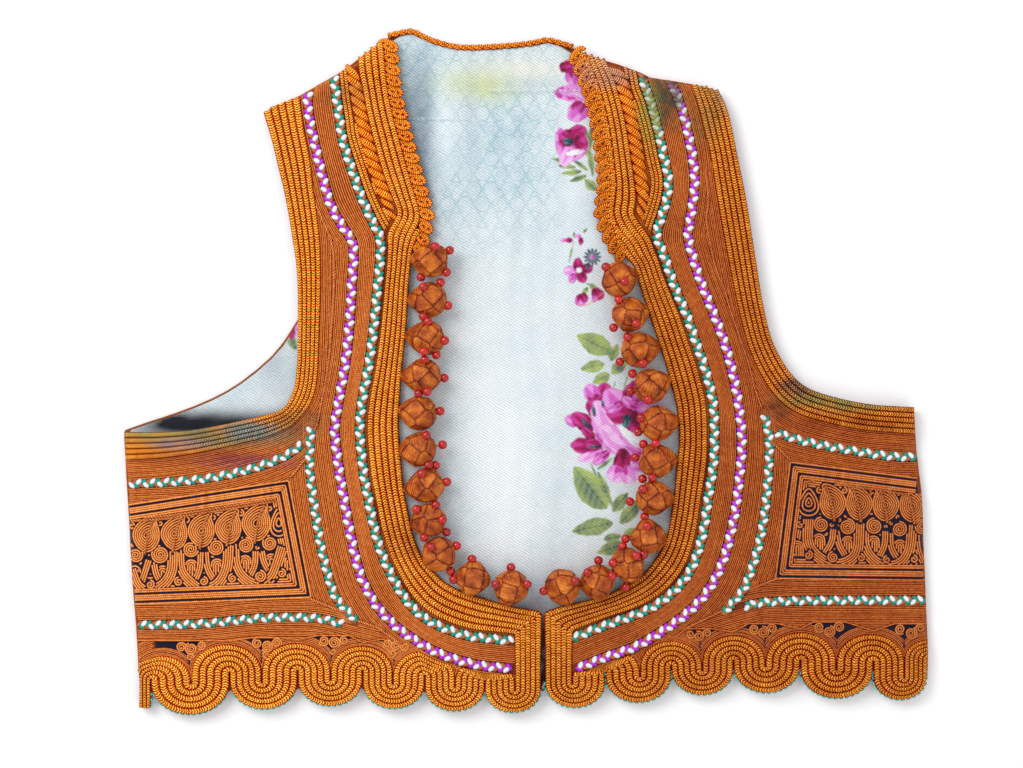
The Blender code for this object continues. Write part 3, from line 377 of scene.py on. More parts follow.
# The distance to the folds is read from a 1 mm grid, because every stitch asks for it.
AWAY_X, AWAY_Y = np.arange(-230.0, 231.0), np.arange(-198.0, 199.0)
AWAY = np.array([np.min([to_line(column, line) for side in SIDES for line in FOLDS[side].values()], axis=0)
                 for column in np.stack(np.meshgrid(AWAY_X, AWAY_Y, indexing="ij"), -1)])


def from_folds(points):
    """Distance of points from the nearest side or shoulder fold."""
    x = np.clip(points[:, 0] - AWAY_X[0], 0, len(AWAY_X) - 1.001)
    y = np.clip(points[:, 1] - AWAY_Y[0], 0, len(AWAY_Y) - 1.001)
    i, j = x.astype(int), y.astype(int)
    u, v = x - i, y - j
    return ((AWAY[i, j] * (1 - u) + AWAY[i + 1, j] * u) * (1 - v)
            + (AWAY[i, j + 1] * (1 - u) + AWAY[i + 1, j + 1] * u) * v)


def fold_x(y, side):
    """Where the side fold is at this height."""
    fold = FOLDS[side]["side"]
    fold = fold[np.argsort(fold[:, 1])]
    return np.interp(y, fold[:, 1], fold[:, 0])


def side_of_fold(point, side):
    """A point kept just inside the side fold."""
    keep = max if side == "right" else min
    return np.array((keep(point[0], fold_x(point[1], side) + 0.5 * SIGN[side]), point[1]))


def on_front(points, side, slack=0.0):
    """Whether points lie on a front, short of its shoulder and side folds."""
    under = points[:, 1] < np.interp(points[:, 0], *FOLDS[side]["shoulder"].T) + slack
    return under & ((points[:, 0] - fold_x(points[:, 1], side)) * SIGN[side] > -slack)


# Heights of the layers.

def hill(points, x, y, reach_x, reach_y):
    """1 at a place, falling off softly over this reach."""
    return np.exp(-((points[:, 0] - x) / reach_x) ** 2 - ((points[:, 1] - y) / reach_y) ** 2)


def swell(points, swells):
    total = np.zeros(len(points))
    for *place, high in swells:
        total += high * hill(points, *place)
    return total


def fold_curl(points):
    """0 at a fold and 1 from FOLD_ROUND inwards, rising as a quarter round."""
    return np.sqrt(1 - (1 - np.clip(from_folds(points) / FOLD_ROUND, 0, 1)) ** 2)


def front_top(points):
    high = FRONT_TOP + swell(points, FRONT_SWELLS)
    return RIM_TOP + (high - RIM_TOP) * fold_curl(points)


def front_under(points):
    low = BACK_THICK + SEAM
    return low + (FRONT_REST + swell(points, FRONT_SWELLS) - low) * fold_curl(points) ** 3


def lining_top(points):
    return LINING_TOP + swell(points, LINING_SWELLS)


# The bands and outlines of the cloth.

def edge_lines(side, step, beside=BRAID_WIDE / 2 + 0.5):
    """The outer line of the front edge band, and its inner one, this far from what lies beside it."""
    rows = smooth(EDGE[side], step)
    across = rows[:, 2:] - rows[:, :2]
    return rows[:, :2], rows[:, 2:] - across / norm(across, axis=1)[:, None] * beside


VIOLET_LINES = {side: smooth(VIOLET_LINE[side], 6) for side in SIDES}


def below_braid(point, side):
    """A point of the hem kept under the violet braid, which lies across its highest curves."""
    low = VIOLET_LINES[side]
    low = low[low[:, 1] < -120]
    low = low[np.argsort(low[:, 0])]
    if not low[0, 0] - 6 < point[0] < low[-1, 0] + 6:
        return point
    middle, ahead = np.interp((point[0], point[0] + 4), *low.T)
    limit = middle - (BRAID_WIDE / 2 + 0.6) * math.hypot(1, abs(ahead - middle) / 4)
    return np.array((point[0], min(point[1], limit)))


def hem_curves(side):
    """The curves of the hem band: middle, half width where it starts and half width where it ends."""
    turns = HEM_TURNS[side]
    at = [x for x, _ in turns] + [CORNER[side][0][0]]
    reach = [HEM_START[side]] + [abs(b - a) for a, b in zip(at, at[1:])]
    return [(x, y, reach[k], reach[k + 1]) for k, (x, y) in enumerate(turns)]


def hem_rows(side, steps):
    """Rows across the hem band, from the side fold round every curve to the centre front."""
    rows, right = [], side == "right"
    for k, (x, y, before, after) in enumerate(hem_curves(side)):
        over = -1 if k % 2 else 1
        for n in range(0 if k or right else steps // 2, steps + 1):
            turn = math.pi * n / steps
            reach = before + (after - before) * (0.5 - 0.5 * math.cos(turn)) if k or right else after
            row = []
            for d in (1 - SLIT, SLIT - 1):
                radius = reach * (1 - over * d) / 2
                row.append(below_braid(np.array((x - SIGN[side] * radius * math.cos(turn),
                                                 y + over * HEM_SQUASH * radius * math.sin(turn))), side))
            rows.append(row)
    if right:
        rows.insert(0, [(x, HEM_TAIL) for x, _ in rows[0]])
    return [tuple(side_of_fold(point, side) for point in row) for row in rows]


def hem_line(side, inset):
    """The scalloped lower edge, from the side to the centre front, set in by this much."""
    line = [(-211.4, HEM_TAIL + 0.2), (-207.2, HEM_TAIL + 0.8), (-206.2, -180.0)] if side == "right" else []
    for x, y, before, after in hem_curves(side)[1::2]:
        for n in range(1, 10):
            turn = math.pi * n / 10
            reach = before + (after - before) * (0.5 - 0.5 * math.cos(turn)) - inset
            place = x - SIGN[side] * reach * math.cos(turn), y - HEM_SQUASH * reach * math.sin(turn)
            line.append(side_of_fold(place, side))
    return np.array(line)


def front_outline(side):
    sign, (x, y) = SIGN[side], CORNER[side][0]
    edge = shifted(np.vstack([edge_lines(side, 11)[0], (x, y)]), -EDGE_INSET * sign)
    centre = np.array([(x - EDGE_INSET * sign, y - 1), (x - EDGE_INSET * sign, -165.0)])
    arm = shifted(smooth(ARM[side], 11)[:, :2], EDGE_INSET * sign)
    return joined([edge, centre, hem_line(side, EDGE_INSET)[::-1], smooth(SIDE_FOLD[side], 16)[::-1],
                   arm[::-1], smooth(SHOULDER[side], 9)[::sign]])


def lower_line(side):
    """A plain lower edge for the lining, inside the scallops."""
    start, rise = (1, 2) if side == "right" else (3, 3)
    return np.array(HEM_TURNS[side])[start::2] + (0, rise)


def back_outline(inset, arm_inset, hem_inset=None):
    """The back's outline, set in by this much, and by other measures at the armholes and the hem."""
    def moved(line, step, by=inset):
        return shifted(smooth(line, step), -by)

    rows = smooth(ARM["left"], 11)
    hidden = shifted(rows[:, :2] + (rows[:, 2:] - rows[:, :2]) * 0.3, -arm_inset)
    if hem_inset is None:
        hem = [np.vstack([lower_line("left"), lower_line("right")[::-1]])]
    else:
        hem = [hem_line("left", hem_inset), hem_line("right", hem_inset)[::-1]]
    return joined([moved(BACK_NECK, 9), moved(SHOULDER["left"], 12), hidden,
                   moved(SIDE_FOLD["left"], 20), *hem,
                   shifted(smooth(SIDE_FOLD["right"], 20)[::-1], -inset), moved(BACK_RIGHT_ARM, 9, arm_inset),
                   moved(SHOULDER["right"], 12)])


# Meshes.

class Skein:
    """Grids of points gathered into one mesh, each point with its run: place along and across."""

    def __init__(self):
        self.points, self.runs, self.faces = [], [], []
        self.count = 0

    def grids(self, points, runs):
        """Adds one grid, or many alike: points has the shape (grids, rows, columns, 3)."""
        if points.ndim == 3:
            points, runs = points[None], runs[None]
        shape = points.shape[:3]
        at = np.arange(np.prod(shape)).reshape(shape)
        corners = at[:, :-1, :-1], at[:, 1:, :-1], at[:, 1:, 1:], at[:, :-1, 1:]
        self.loose(points.reshape(-1, 3), np.stack(corners, -1).reshape(-1, 4),
                   np.broadcast_to(runs, (*shape, 2)).reshape(-1, 2))

    def loose(self, points, faces, runs):
        """Adds points with faces of their own."""
        self.faces.append(faces + self.count)
        self.points.append(points)
        self.runs.append(runs)
        self.count += len(points)

    def piece(self, name, material, slot, *replaced):
        return piece(name, np.vstack(self.points), np.vstack(self.faces), material,
                     replaced, np.vstack(self.runs))


def piece(name, points, faces, material, replaced=(), runs=None, colours=None):
    """A mesh object from points in millimetres, riding on the one body."""
    mesh = bpy.data.meshes.new(name)
    faces = np.asarray(faces, np.int32)
    mesh.vertices.add(len(points))
    mesh.vertices.foreach_set("co", (np.asarray(points) / 1000).astype(np.float32).ravel())
    mesh.loops.add(faces.size)
    mesh.loops.foreach_set("vertex_index", faces.ravel())
    mesh.polygons.add(len(faces))
    mesh.polygons.foreach_set("loop_start", np.arange(0, faces.size, faces.shape[1], dtype=np.int32))
    mesh.update(calc_edges=True)
    mesh.shade_smooth()
    if runs is not None:
        layer = mesh.uv_layers.new(name="run")
        layer.data.foreach_set("uv", np.asarray(runs)[faces.ravel()].astype(np.float32).ravel())
    if colours is not None:
        paint = mesh.color_attributes.new("print", "FLOAT_COLOR", "POINT")
        full = np.column_stack([colours, np.ones(len(colours))])
        paint.data.foreach_set("color", full.astype(np.float32).ravel())
    mesh.materials.append(material)
    obj = bpy.data.objects.new(name, mesh)
    bpy.context.scene.collection.objects.link(obj)
    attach(obj, "root")
    if replaced:
        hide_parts(*replaced)
    return obj


def from_photo(x, y):
    """A place on the vest in millimetres from one in the photograph, in pixels."""
    return np.array(((x - PHOTO_MIDDLE[0]) * PHOTO_SCALE, (PHOTO_MIDDLE[1] - y) * PHOTO_SCALE))


def eased(rows, step, reach):
    """Rows at an even spacing, with their corners rounded over this reach."""
    rows = respaced(rows, step)
    count = int(2 * reach / step) + 1
    if len(rows) < count + 2:
        return rows
    taps = np.exp(-(np.arange(-count, count + 1) * step / reach) ** 2)
    padded = np.pad(rows, ((count, count), (0, 0)), mode="reflect", reflect_type="odd")
    return np.stack([np.convolve(column, taps / taps.sum(), "valid") for column in padded.T], 1)


def with_size(line, half, high, lift=0.0):
    """Rows of (x, y, half width, height, lift) from a line."""
    return np.column_stack([line, *(np.broadcast_to(value, len(line)) for value in (half, high, lift))])


def lay(skein, rows, across=ROUND, step=0.5, start=0.0):
    """A rounded cord on the front along rows of (x, y, half width, height, lift)."""
    rows = respaced(np.asarray(rows, float), step)
    along = length_along(rows)[:, None] + start
    flat = rows[:, None, :2] + normals(rows[:, :2])[:, None] * (rows[:, 2:3] * across)[..., None]
    high = rows[:, 3:4] * np.sqrt(np.maximum(1 - np.abs(across) ** 2.6, 0.0))
    high[[0, -1]] *= 0.15
    base = front_top(flat.reshape(-1, 2)).reshape(flat.shape[:2])
    skein.grids(np.dstack([flat, base + rows[:, 4:5] + high]), np.dstack(np.broadcast_arrays(along, across)))


def blobs(skein, start, end, half, high, lift):
    """Plump short strands on the front, broad and round at the start and pointed at the end."""
    t = np.array((-1.0, -0.82, -0.4, 0.1, 0.6, 1.0))
    middle, reach = (start + end) / 2, (end - start) / 2
    size = norm(reach, axis=1)
    beside = np.stack([-reach[:, 1], reach[:, 0]], 1) / size[:, None]
    taper = np.where(t < 0.1, np.sqrt(1 - 0.8 * ((t - 0.1) / 1.1) ** 2),
                     1 - 0.74 * (np.abs(t - 0.1) / 0.9) ** 1.6)
    flat = (middle[:, None, None] + reach[:, None, None] * t[None, :, None, None]
            + beside[:, None, None] * (half * taper[None, :, None] * STRAND)[..., None])
    dome = np.sqrt((1 - 0.9 * np.abs(t[:, None]) ** 3) * (1 - 0.9 * np.abs(STRAND) ** 2.4))
    z = front_top(middle)[:, None, None] + lift + high * dome
    runs = np.stack(np.broadcast_arrays((size[:, None] * t)[..., None], STRAND), -1)
    skein.grids(np.concatenate([flat, z[..., None]], -1), runs)


def tube(skein, path, radius, sides=8, start=0.0, squash=1.0):
    """A round tube along points in space, its height times squash."""
    way = np.gradient(path, axis=0)
    way /= norm(way, axis=1)[:, None]
    side = np.cross(way, (0, 0, 1.0))
    side /= np.maximum(norm(side, axis=1), 1e-6)[:, None]
    up = np.cross(side, way) * squash
    turn = np.linspace(0, TAU, sides + 1)[:, None]
    radius = np.broadcast_to(radius, len(path))[:, None, None]
    ring = path[:, None] + radius * (side[:, None] * np.cos(turn) + up[:, None] * np.sin(turn))
    along = np.concatenate([[0], np.cumsum(norm(np.diff(path, axis=0), axis=1))])[:, None] + start
    skein.grids(ring[:, ::-1], np.dstack(np.broadcast_arrays(along, np.cos(turn[::-1, 0]))))


def over_fold(line, side, at_start=True, at_end=True, slack=0.0):
    """A line run on at its ends, as far as the folds."""
    rest = line[:, 2:]
    full = np.column_stack([run_on(line[:, :2]), np.vstack([rest[:1], rest, rest[-1:]])])
    full = respaced(full[0 if at_start else 1:len(full) if at_end else -1], 0.6)
    keep = on_front(full[:, :2], side, slack)
    if not at_start:
        keep[:8] = True
    if not at_end:
        keep[-8:] = True
    return full[keep]


def runs_of(keep):
    """Slices of the stretches where keep is true."""
    edges = np.flatnonzero(np.diff(np.concatenate([[0], keep.astype(int), [0]])))
    return [slice(a, b) for a, b in zip(edges[::2], edges[1::2]) if b - a > 2]


def inset(line, by):
    """A line of straight stretches moved to its left, its corners kept sharp."""
    way = np.diff(line, axis=0)
    way /= norm(way, axis=1)[:, None]
    left = np.stack([-way[:, 1], way[:, 0]], 1)
    both = left[:-1] + left[1:]
    inner = line[1:-1] + both * by * 2 / (both * both).sum(1)[:, None]
    return np.vstack([line[0] + left[0] * by, inner, line[-1] + left[-1] * by])


def cord_start(k):
    """Where the stitches of fine cord k begin, so that neighbours differ."""
    return 50.0 * k + 9 * math.sin(7.3 * k)


def field(skein, side, guide, polygon, first, count, pitch=FINE_PITCH, lift=-0.05):
    """Fine cords beside a guide line, kept inside a polygon and short of the folds. They lie to the
    line's left, or to its right where the pitch is negative."""
    for k in range(count):
        off = first + k * abs(pitch)
        line = respaced(shifted(guide, math.copysign(1, pitch) * off), 1.0)
        sway = 0.09 * np.sin(length_along(line) / 17.0 + 2.1 * k) + 0.05 * math.sin(5.3 * k)
        line += normals(line) * sway[:, None]
        keep = inside(line, polygon) & (to_line(line, guide) > off - 0.35) & on_front(line, side)
        for run in runs_of(keep):
            high = FINE_HIGH * (1 + 0.08 * math.sin(9.1 * k))
            lay(skein, with_size(line[run], 0.5, high, lift), RIDGE, 2.4, start=cord_start(k))


def shared(first, second, count):
    """Lines evenly between two lines that run the same way."""
    steps = 160
    first, second = (respaced(line, length_along(line)[-1] / (steps - 1))[:steps] for line in (first, second))
    size = min(len(first), len(second))
    return [first[:size] + (second[:size] - first[:size]) * (k + 0.5) / count for k in range(count)]


# Materials.

def rgb(code):
    """A colour as linear light from its sRGB hex code."""
    parts = [int(code[i:i + 2], 16) / 255 for i in (0, 2, 4)]
    return tuple(p / 12.92 if p <= 0.04045 else ((p + 0.055) / 1.055) ** 2.4 for p in parts)


class Value:
    """What a node gives out, ready for sums."""

    def __init__(self, look, socket):
        self.look, self.socket = look, socket

    def __add__(self, other):
        return self.look.math("ADD", self, other)

    def __sub__(self, other):
        return self.look.math("SUBTRACT", self, other)

    def __rsub__(self, other):
        return self.look.math("SUBTRACT", other, self)

    def __mul__(self, other):
        return self.look.math("MULTIPLY", self, other)

    def __truediv__(self, other):
        return self.look.math("DIVIDE", self, other)

    def __pow__(self, other):
        return self.look.math("POWER", self, other)

    def __abs__(self):
        return self.look.math("ABSOLUTE", self)

    def clamped(self):
        """Kept between 0 and 1."""
        self.socket.node.use_clamp = True
        return self


class Look:
    """One node material. Its methods add nodes and give back what comes out of them."""

    def __init__(self, name, rough=0.7, specular=0.3, sheen=0.0, coat=0.0, metal=0.0):
        self.material = bpy.data.materials.new(name)
        self.material.use_nodes = True
        self.tree = self.material.node_tree
        self.shader = self.tree.nodes["Principled BSDF"]
        for socket, value in (("Roughness", rough), ("Specular IOR Level", specular),
                              ("Sheen Weight", sheen), ("Coat Weight", coat), ("Metallic", metal),
                              ("Coat Roughness", 0.1), ("Sheen Roughness", 0.5)):
            self.shader.inputs[socket].default_value = value
        self.place = self.add("TexCoord", {}, "Object")
        self.along, self.across, _ = self.parts(self.add("UVMap", {}, 0, uv_map="run"))

    def add(self, kind, inputs, outlet=0, **settings):
        """What comes out of a new node with these inputs."""
        made = self.tree.nodes.new("ShaderNode" + kind)
        for key, value in settings.items():
            setattr(made, key, value)
        for key, value in inputs.items():
            self.put(made.inputs[key], value)
        return Value(self, made.outputs[outlet])

    def put(self, socket, value):
        if isinstance(value, Value):
            self.tree.links.new(value.socket, socket)
        elif socket.type == "RGBA":
            socket.default_value = (*value, 1)
        else:
            socket.default_value = value

    def parts(self, vector):
        split = self.add("SeparateXYZ", {0: vector}).socket.node
        return [Value(self, outlet) for outlet in split.outputs]

    def math(self, operation, *values):
        return self.add("Math", dict(enumerate(values)), operation=operation)

    def noise(self, size, detail=2.0, place=None):
        """Noise about 0.5, its grains this many millimetres across."""
        return self.add("TexNoise", {"Scale": 1000 / size, "Detail": detail, "Vector": place or self.place})

    def run_noise(self, size):
        """Noise about 0.5 that changes along a cord, and from cord to cord."""
        return self.add("TexNoise", {"Scale": 1 / size, "W": self.along}, noise_dimensions="1D")

    def wave(self, phase):
        """0 to 1 and back for each whole step of the phase."""
        return self.math("COSINE", phase * TAU) * 0.5 + 0.5

    def ramp(self, value, *stops):
        made = self.add("ValToRGB", {0: value})
        elements = made.socket.node.color_ramp.elements
        while len(elements) < len(stops):
            elements.new(0.5)
        for element, (at, code) in zip(elements, stops):
            element.position = at
            element.color = (*rgb(code), 1)
        return made

    def mix(self, share, first, second, way="MIX"):
        return self.add("Mix", {0: share, 6: first, 7: second}, 2, data_type="RGBA", blend_type=way)

    def spot(self, x, y, reach_x, reach_y):
        """1 at a place on the vest, in millimetres, fading to 0 at this reach."""
        moved = self.add("VectorMath", {0: self.place, 1: (x / 1000, y / 1000, 0)}, operation="SUBTRACT")
        scale = (1000 / reach_x, 1000 / reach_y, 0)
        scaled = self.add("VectorMath", {0: moved, 1: scale}, operation="MULTIPLY")
        size = self.add("VectorMath", {0: scaled}, "Value", operation="LENGTH")
        ends = {0: size, 1: 1.0, 2: 0.3, 3: 0.0, 4: 1.0}  # from 1.0 out to 0.3 in, it rises from 0 to 1
        return self.add("MapRange", ends, interpolation_type="SMOOTHSTEP")

    def stained_and_shaded(self, colour, spots, light):
        """The colour with soft patches of stain and of painted shade: place, reach, colour and strength of
        each. The stitches show through them by their light."""
        shade = self.ramp(light, (0.0, "241C18"), (0.35, "8C8480"), (0.8, "FFFFFF"))
        for *place, code, strength in spots:
            broken = (self.spot(*place) * (self.noise(9) * 1.6 + 0.05)).clamped()
            colour = self.mix(broken * strength, colour, self.mix(1.0, shade, rgb(code), "MULTIPLY"))
        return colour

    def finish(self, colour, height=None, deep=0.0):
        """Colour and relief in millimetres go to the shader."""
        self.put(self.shader.inputs["Base Color"], colour)
        if height is not None:
            bump = self.add("Bump", {"Distance": deep / 1000, "Strength": 1.0, "Height": height})
            self.put(self.shader.inputs["Normal"], bump)
        return self.material


# Patches of colour on the cords: stains, worn patches, pale washes, and one wide painted shade. Place, reach,
# colour, strength.
STAINS_AND_SHADE = (
    # The first is painted shade: a wide darker, redder cast over the wearer's left half.
    (150, -60, 250, 330, "BC3C10", 0.48), (-172, -35, 70, 11, "B4A878", 0.95),
    (-150, -33, 26, 8, "A4ACA8", 0.85), (-190, -40, 22, 5, "C8A8B4", 0.7),
    (-205, -34, 24, 5, "D8C860", 0.6), (-125, -28, 20, 10, "8A6450", 0.6),
    (-152, -50, 40, 6, "C05A9A", 0.5), (-180, -47, 50, 6, "C05038", 0.5),
    (178, -15, 54, 10, "B4A45C", 0.95), (-100, 152, 20, 12, "A87048", 0.45),
    # The one at 45, 164 is a pale greyish-pink wash that lightens the cords beside the neck.
    (76, 152, 15, 28, "6C6854", 0.95), (98, 142, 14, 26, "A88C50", 0.55), (45, 164, 24, 13, "D0A8A0", 0.65),
    (150, -8, 16, 7, "585860", 0.8), (180, -30, 46, 7, "B04420", 0.5), (138, -22, 12, 8, "6C4438", 0.6),
    (112, 150, 12, 12, "B8A888", 0.55), (68, 140, 9, 26, "B8C058", 0.7), (-60, -92, 26, 16, "B0441C", 0.35),
)


def cord_look(name, pitch, slant, shades, body, stitched, deep, gap, one_way=False, loose=0.5, **shader):
    """Metal thread stitched round a core. Its colour is painted light: bright stitches and crowns with
    painted highlights, and deep red painted shade towards each cord's sides, where cords meet.
    """
    look = Look(name, **shader)
    away = abs(look.across)
    phase = (look.across if one_way else away) * slant + look.along / pitch
    stitch = look.wave(look.noise(2.4, 1.0) * loose + phase)
    # The crown is lit and the sides fall into painted shade. Without one_way, a groove along its middle is
    # painted in shade too, in the colour as in the bump.
    crown = 1.0 - away ** gap
    if not one_way:
        crown = crown * ((1.0 - away) ** 7.0 * -0.42 + 1.0)  # a groove along its middle
    light = (stitch * stitched + body) * crown
    for size, share in ((3.0, 0.3), (37.0, 0.26)):
        light = light + (look.run_noise(size) * share - share / 2)
    light = (light + (look.noise(0.9, 3.0) * 0.36 - 0.17)).clamped()
    return look.finish(look.stained_and_shaded(look.ramp(light, *shades), STAINS_AND_SHADE, light), stitch * crown, deep)


# Colour ramps of the cords, from the painted shade where cords meet to their painted highlights.
GOLD_SHADES = ((0, "480000"), (0.14, "8A0C00"), (0.3, "D03600"), (0.5, "F66A00"), (0.7, "FFA80E"),
               (1, "FFE26C"))
FINE_SHADES = ((0, "420A00"), (0.2, "88280A"), (0.42, "C05A1E"), (0.66, "E48A3E"), (1, "FFC87A"))
INLAY_SHADES = ((0, "4A0C00"), (0.2, "A0360A"), (0.42, "D87022"), (0.66, "FAA452"), (1, "FFDC94"))
gold = cord_look("gold_cord_thread", STITCH, 0.8, GOLD_SHADES, 0.12, 1.04, 0.42, 2.6, loose=0.9,
                 rough=0.55, specular=0.04)
fine = cord_look("fine_cord_thread", 1.15, 0.35, FINE_SHADES, 0.5, 0.26, 0.15, 1.7, True,
                 rough=0.6, specular=0.15)
inlay = cord_look("inlay_cord_thread", 1.1, 0.35, INLAY_SHADES, 0.5, 0.34, 0.2, 1.8, True,
                  rough=0.55, specular=0.2)
loop_gold = cord_look("loop_cord_thread", 1.1, 0.5, GOLD_SHADES, 0.24, 0.8, 0.4, 2.2, loose=0.6,
                      rough=0.55, specular=0.04)
rope_stitch = cord_look("rope_stitch_thread", 1.7, 0.7, FINE_SHADES, 0.16, 0.66, 0.25, 2.4, True,
                        rough=0.6, specular=0.25)


def thread_look(name, rough, sheen, *shades):
    """Fine threads that lie side by side along a strand; its colour falls to painted shade towards the
    strand's edges.
    """
    look = Look(name, rough=rough, sheen=sheen)
    threads = look.wave((look.across * 1.3 + look.along * 0.25) / 0.62)
    # The strand's colour falls into painted shade towards its edges.
    crown = 1.0 - abs(look.across) ** 2.6
    light = threads * 0.3 + (crown * 0.48 + 0.04)
    light = (light + (look.noise(1.6, 3.0) * 0.24 - 0.12)).clamped()
    return look.finish(look.stained_and_shaded(look.ramp(light, *shades), STAINS_AND_SHADE[10:], light), threads, 0.1)


white = thread_look("white_strand", 0.6, 0.2, (0, "4E4658"), (0.25, "9C98A8"), (0.5, "DCE2EA"), (1, "FFFFFF"))
teal = thread_look("teal_strand", 0.5, 0.1, (0, "021C1A"), (0.35, "046054"), (0.65, "089078"), (1, "24C4A6"))
violet = thread_look("violet_strand", 0.5, 0.1,
                     (0, "36043E"), (0.35, "800C98"), (0.65, "B220CE"), (1, "E060F4"))
orange = thread_look("orange_strand", 0.6, 0.0,
                     (0, "3A0C02"), (0.35, "88340C"), (0.65, "B85C20"), (1, "E08C40"))
hem_teal = thread_look("hem_teal_thread", 0.5, 0.0, (0, "046A60"), (0.3, "18C4B0"), (1, "70FFE8"))
core = thread_look("braid_core", 0.8, 0.0, (0, "200604"), (0.5, "4A1408"), (1, "7A300E"))


def ground_look():
    """Near-black blue twill that shows between the cords."""
    look = Look("navy_ground_cloth", rough=0.85, specular=0.2, sheen=0.15)
    x, y, _ = look.parts(look.place)
    rib = look.wave((x + y) / 0.0008)
    light = (rib * 0.45 + look.noise(2.0, 4.0) * 0.6).clamped()
    colour = look.ramp(light, (0, "04040E"), (0.45, "0A0A20"), (0.75, "121230"), (1, "26284E"))
    return look.finish(colour, rib, 0.12)


def brown_look():
    """Cloth under the fine cords, dark with the colour of their threads."""
    look = Look("corded_ground_cloth", rough=0.8, specular=0.2)
    light = look.noise(1.3, 4.0) * 0.5 + look.noise(14.0) * 0.25
    light = (light + look.wave(look.parts(look.place)[2] / 0.0011) * 0.3).clamped()
    colour = look.ramp(light, (0, "340E04"), (0.45, "78300E"), (0.7, "A8551C"), (1, "CC7C34"))
    return look.finish(colour, light, 0.2)


def corded_back_look():
    """The outside of the back, face down: rows of fine cord side by side."""
    look = Look("corded_back_cloth", rough=0.6, specular=0.35)
    x, y, _ = look.parts(look.place)
    cords, beads = look.wave(x / 0.00105), look.wave((y + x * 0.6) / 0.00115)
    light = (cords * 0.7 + 0.2) * (beads * 0.4 + 0.6)
    light = (light + (look.noise(18.0, 3.0) * 0.4 - 0.2)).clamped()
    colour = look.ramp(light, (0, "3A1408"), (0.35, "7A3410"), (0.65, "B8601E"), (1, "E4A050"))
    return look.finish(colour, cords * beads, 0.35)


def lining_look():
    """Printed twill: the print, with its stains and painted shadows, is painted on the points; the ribs and
    slubs are made here.
    """
    look = Look("printed_twill", rough=0.75, specular=0.3, sheen=0.1)
    paint = look.add("Attribute", {}, "Color", attribute_name="print")
    x, y, _ = look.parts(look.place)
    rib = look.wave((x * 0.62 + y) / 0.00155 + look.noise(7.0) * 1.1)
    fleck = look.noise(0.9, 4.0, look.add("Mapping", {0: look.place, "Scale": (0.6, 1.0, 1.0)}))
    colour = look.mix(rib * -0.40 + 0.44, paint, rgb("7A99A8"), "MULTIPLY")
    colour = look.mix((fleck * 0.9 - 0.34).clamped(), colour, rgb("FFFFFF"), "SOFT_LIGHT")
    return look.finish(colour, fleck * 0.5 + rib, 0.16)


def knot_look():
    """Thread wound into a ball in flat woven faces: U counts threads, V is 0 in a crease, where the colour is
    darkened as painted shade.
    """
    look = Look("knot_thread", rough=0.55, specular=0.3)
    threads, weave = look.wave(look.along / 0.75), look.noise(0.9, 3.0)
    light = threads * 0.36 + weave * 0.4 + (look.noise(5.0) * 0.8 - 0.32)
    # Painted shade darkens the creases.
    light = (light - (1.0 - look.across) * 0.5).clamped()
    colour = look.ramp(light, (0, "340800"), (0.22, "802602"), (0.45, "C05810"), (0.7, "E88E2C"),
                       (1, "FFD070"))
    return look.finish(colour, weave * 0.6 + threads, 0.12)


def bead_look():
    look = Look("coral_bead", rough=0.14, specular=0.5, coat=0.25)
    return look.finish(look.ramp(look.noise(7.0), (0.3, "900202"), (0.5, "AC0604"), (0.7, "C4120A")))


def hook_look():
    look = Look("blackened_hook_wire", rough=0.35, metal=0.9)
    wear = look.noise(1.2, 3.0)
    return look.finish(look.ramp(wear, (0.35, "16161C"), (0.6, "34343E"), (0.8, "8A8A92")), wear, 0.05)


def floor_look():
    look = Look("pale_floor", rough=0.9, specular=0.1)
    return look.finish(look.ramp(look.noise(90.0), (0.3, "F4F4F6"), (0.7, "FAFAFC")))


navy, brown, corded_back, lining_print_and_shadow = ground_look(), brown_look(), corded_back_look(), lining_look()
knot_thread, bead_red, hook_wire = knot_look(), bead_look(), hook_look()


# Cloth.

def triangles(outline, points):
    """Flat triangles over an outline, with these points inside it, and the ring of its rim."""
    rows = [Vector(p) for p in np.vstack([outline, points])]
    found = delaunay_2d_cdt(rows, [], [list(range(len(outline)))], 1, 1e-4)
    flat, faces = np.array([tuple(v) for v in found[0]]), np.array(found[2])
    ends = np.vstack([faces[:, [0, 1]], faces[:, [1, 2]], faces[:, [2, 0]]])
    size = len(flat)
    there = np.isin(ends[:, 0] * size + ends[:, 1], ends[:, 1] * size + ends[:, 0])
    return flat, faces, ends[~there]


def cloth(name, outline, points, top, under, material, replaced, colours=None):
    """Cloth between two heights. Where it is painted it is one layer with its rim turned down."""
    flat, faces, rim = triangles(outline, points)
    size = len(flat)
    low, high = np.column_stack([flat, under(flat)]), np.column_stack([flat, top(flat)])
    if colours is None:
        spots, paint = np.vstack([high, low]), None
        faces = np.vstack([faces, faces[:, ::-1] + size])
        below = rim + size
    else:
        first = rim[:, 0]
        spots = np.vstack([high, low[first]])
        order = {at: size + n for n, at in enumerate(first)}
        below = np.array([(order[a], order[b]) for a, b in rim])
        paint = np.vstack([colours(flat), colours(flat[first])])
    sides = np.vstack([np.column_stack([rim[:, 1], rim[:, 0], below[:, 0]]),
                       np.column_stack([rim[:, 1], below[:, 0], below[:, 1]])])
    return piece(name, spots, np.vstack([faces, sides]), material, replaced, colours=paint)


def box_of(line):
    """The box round a line: from and to across, then from and to up."""
    (x0, y0), (x1, y1) = line.min(0), line.max(0)
    return x0, x1, y0, y1


def flat_size(line):
    """How wide and how high a sheet is laid flat, in metres."""
    x0, x1, y0, y1 = box_of(line)
    return (x1 - x0) / 1000, (y1 - y0) / 1000


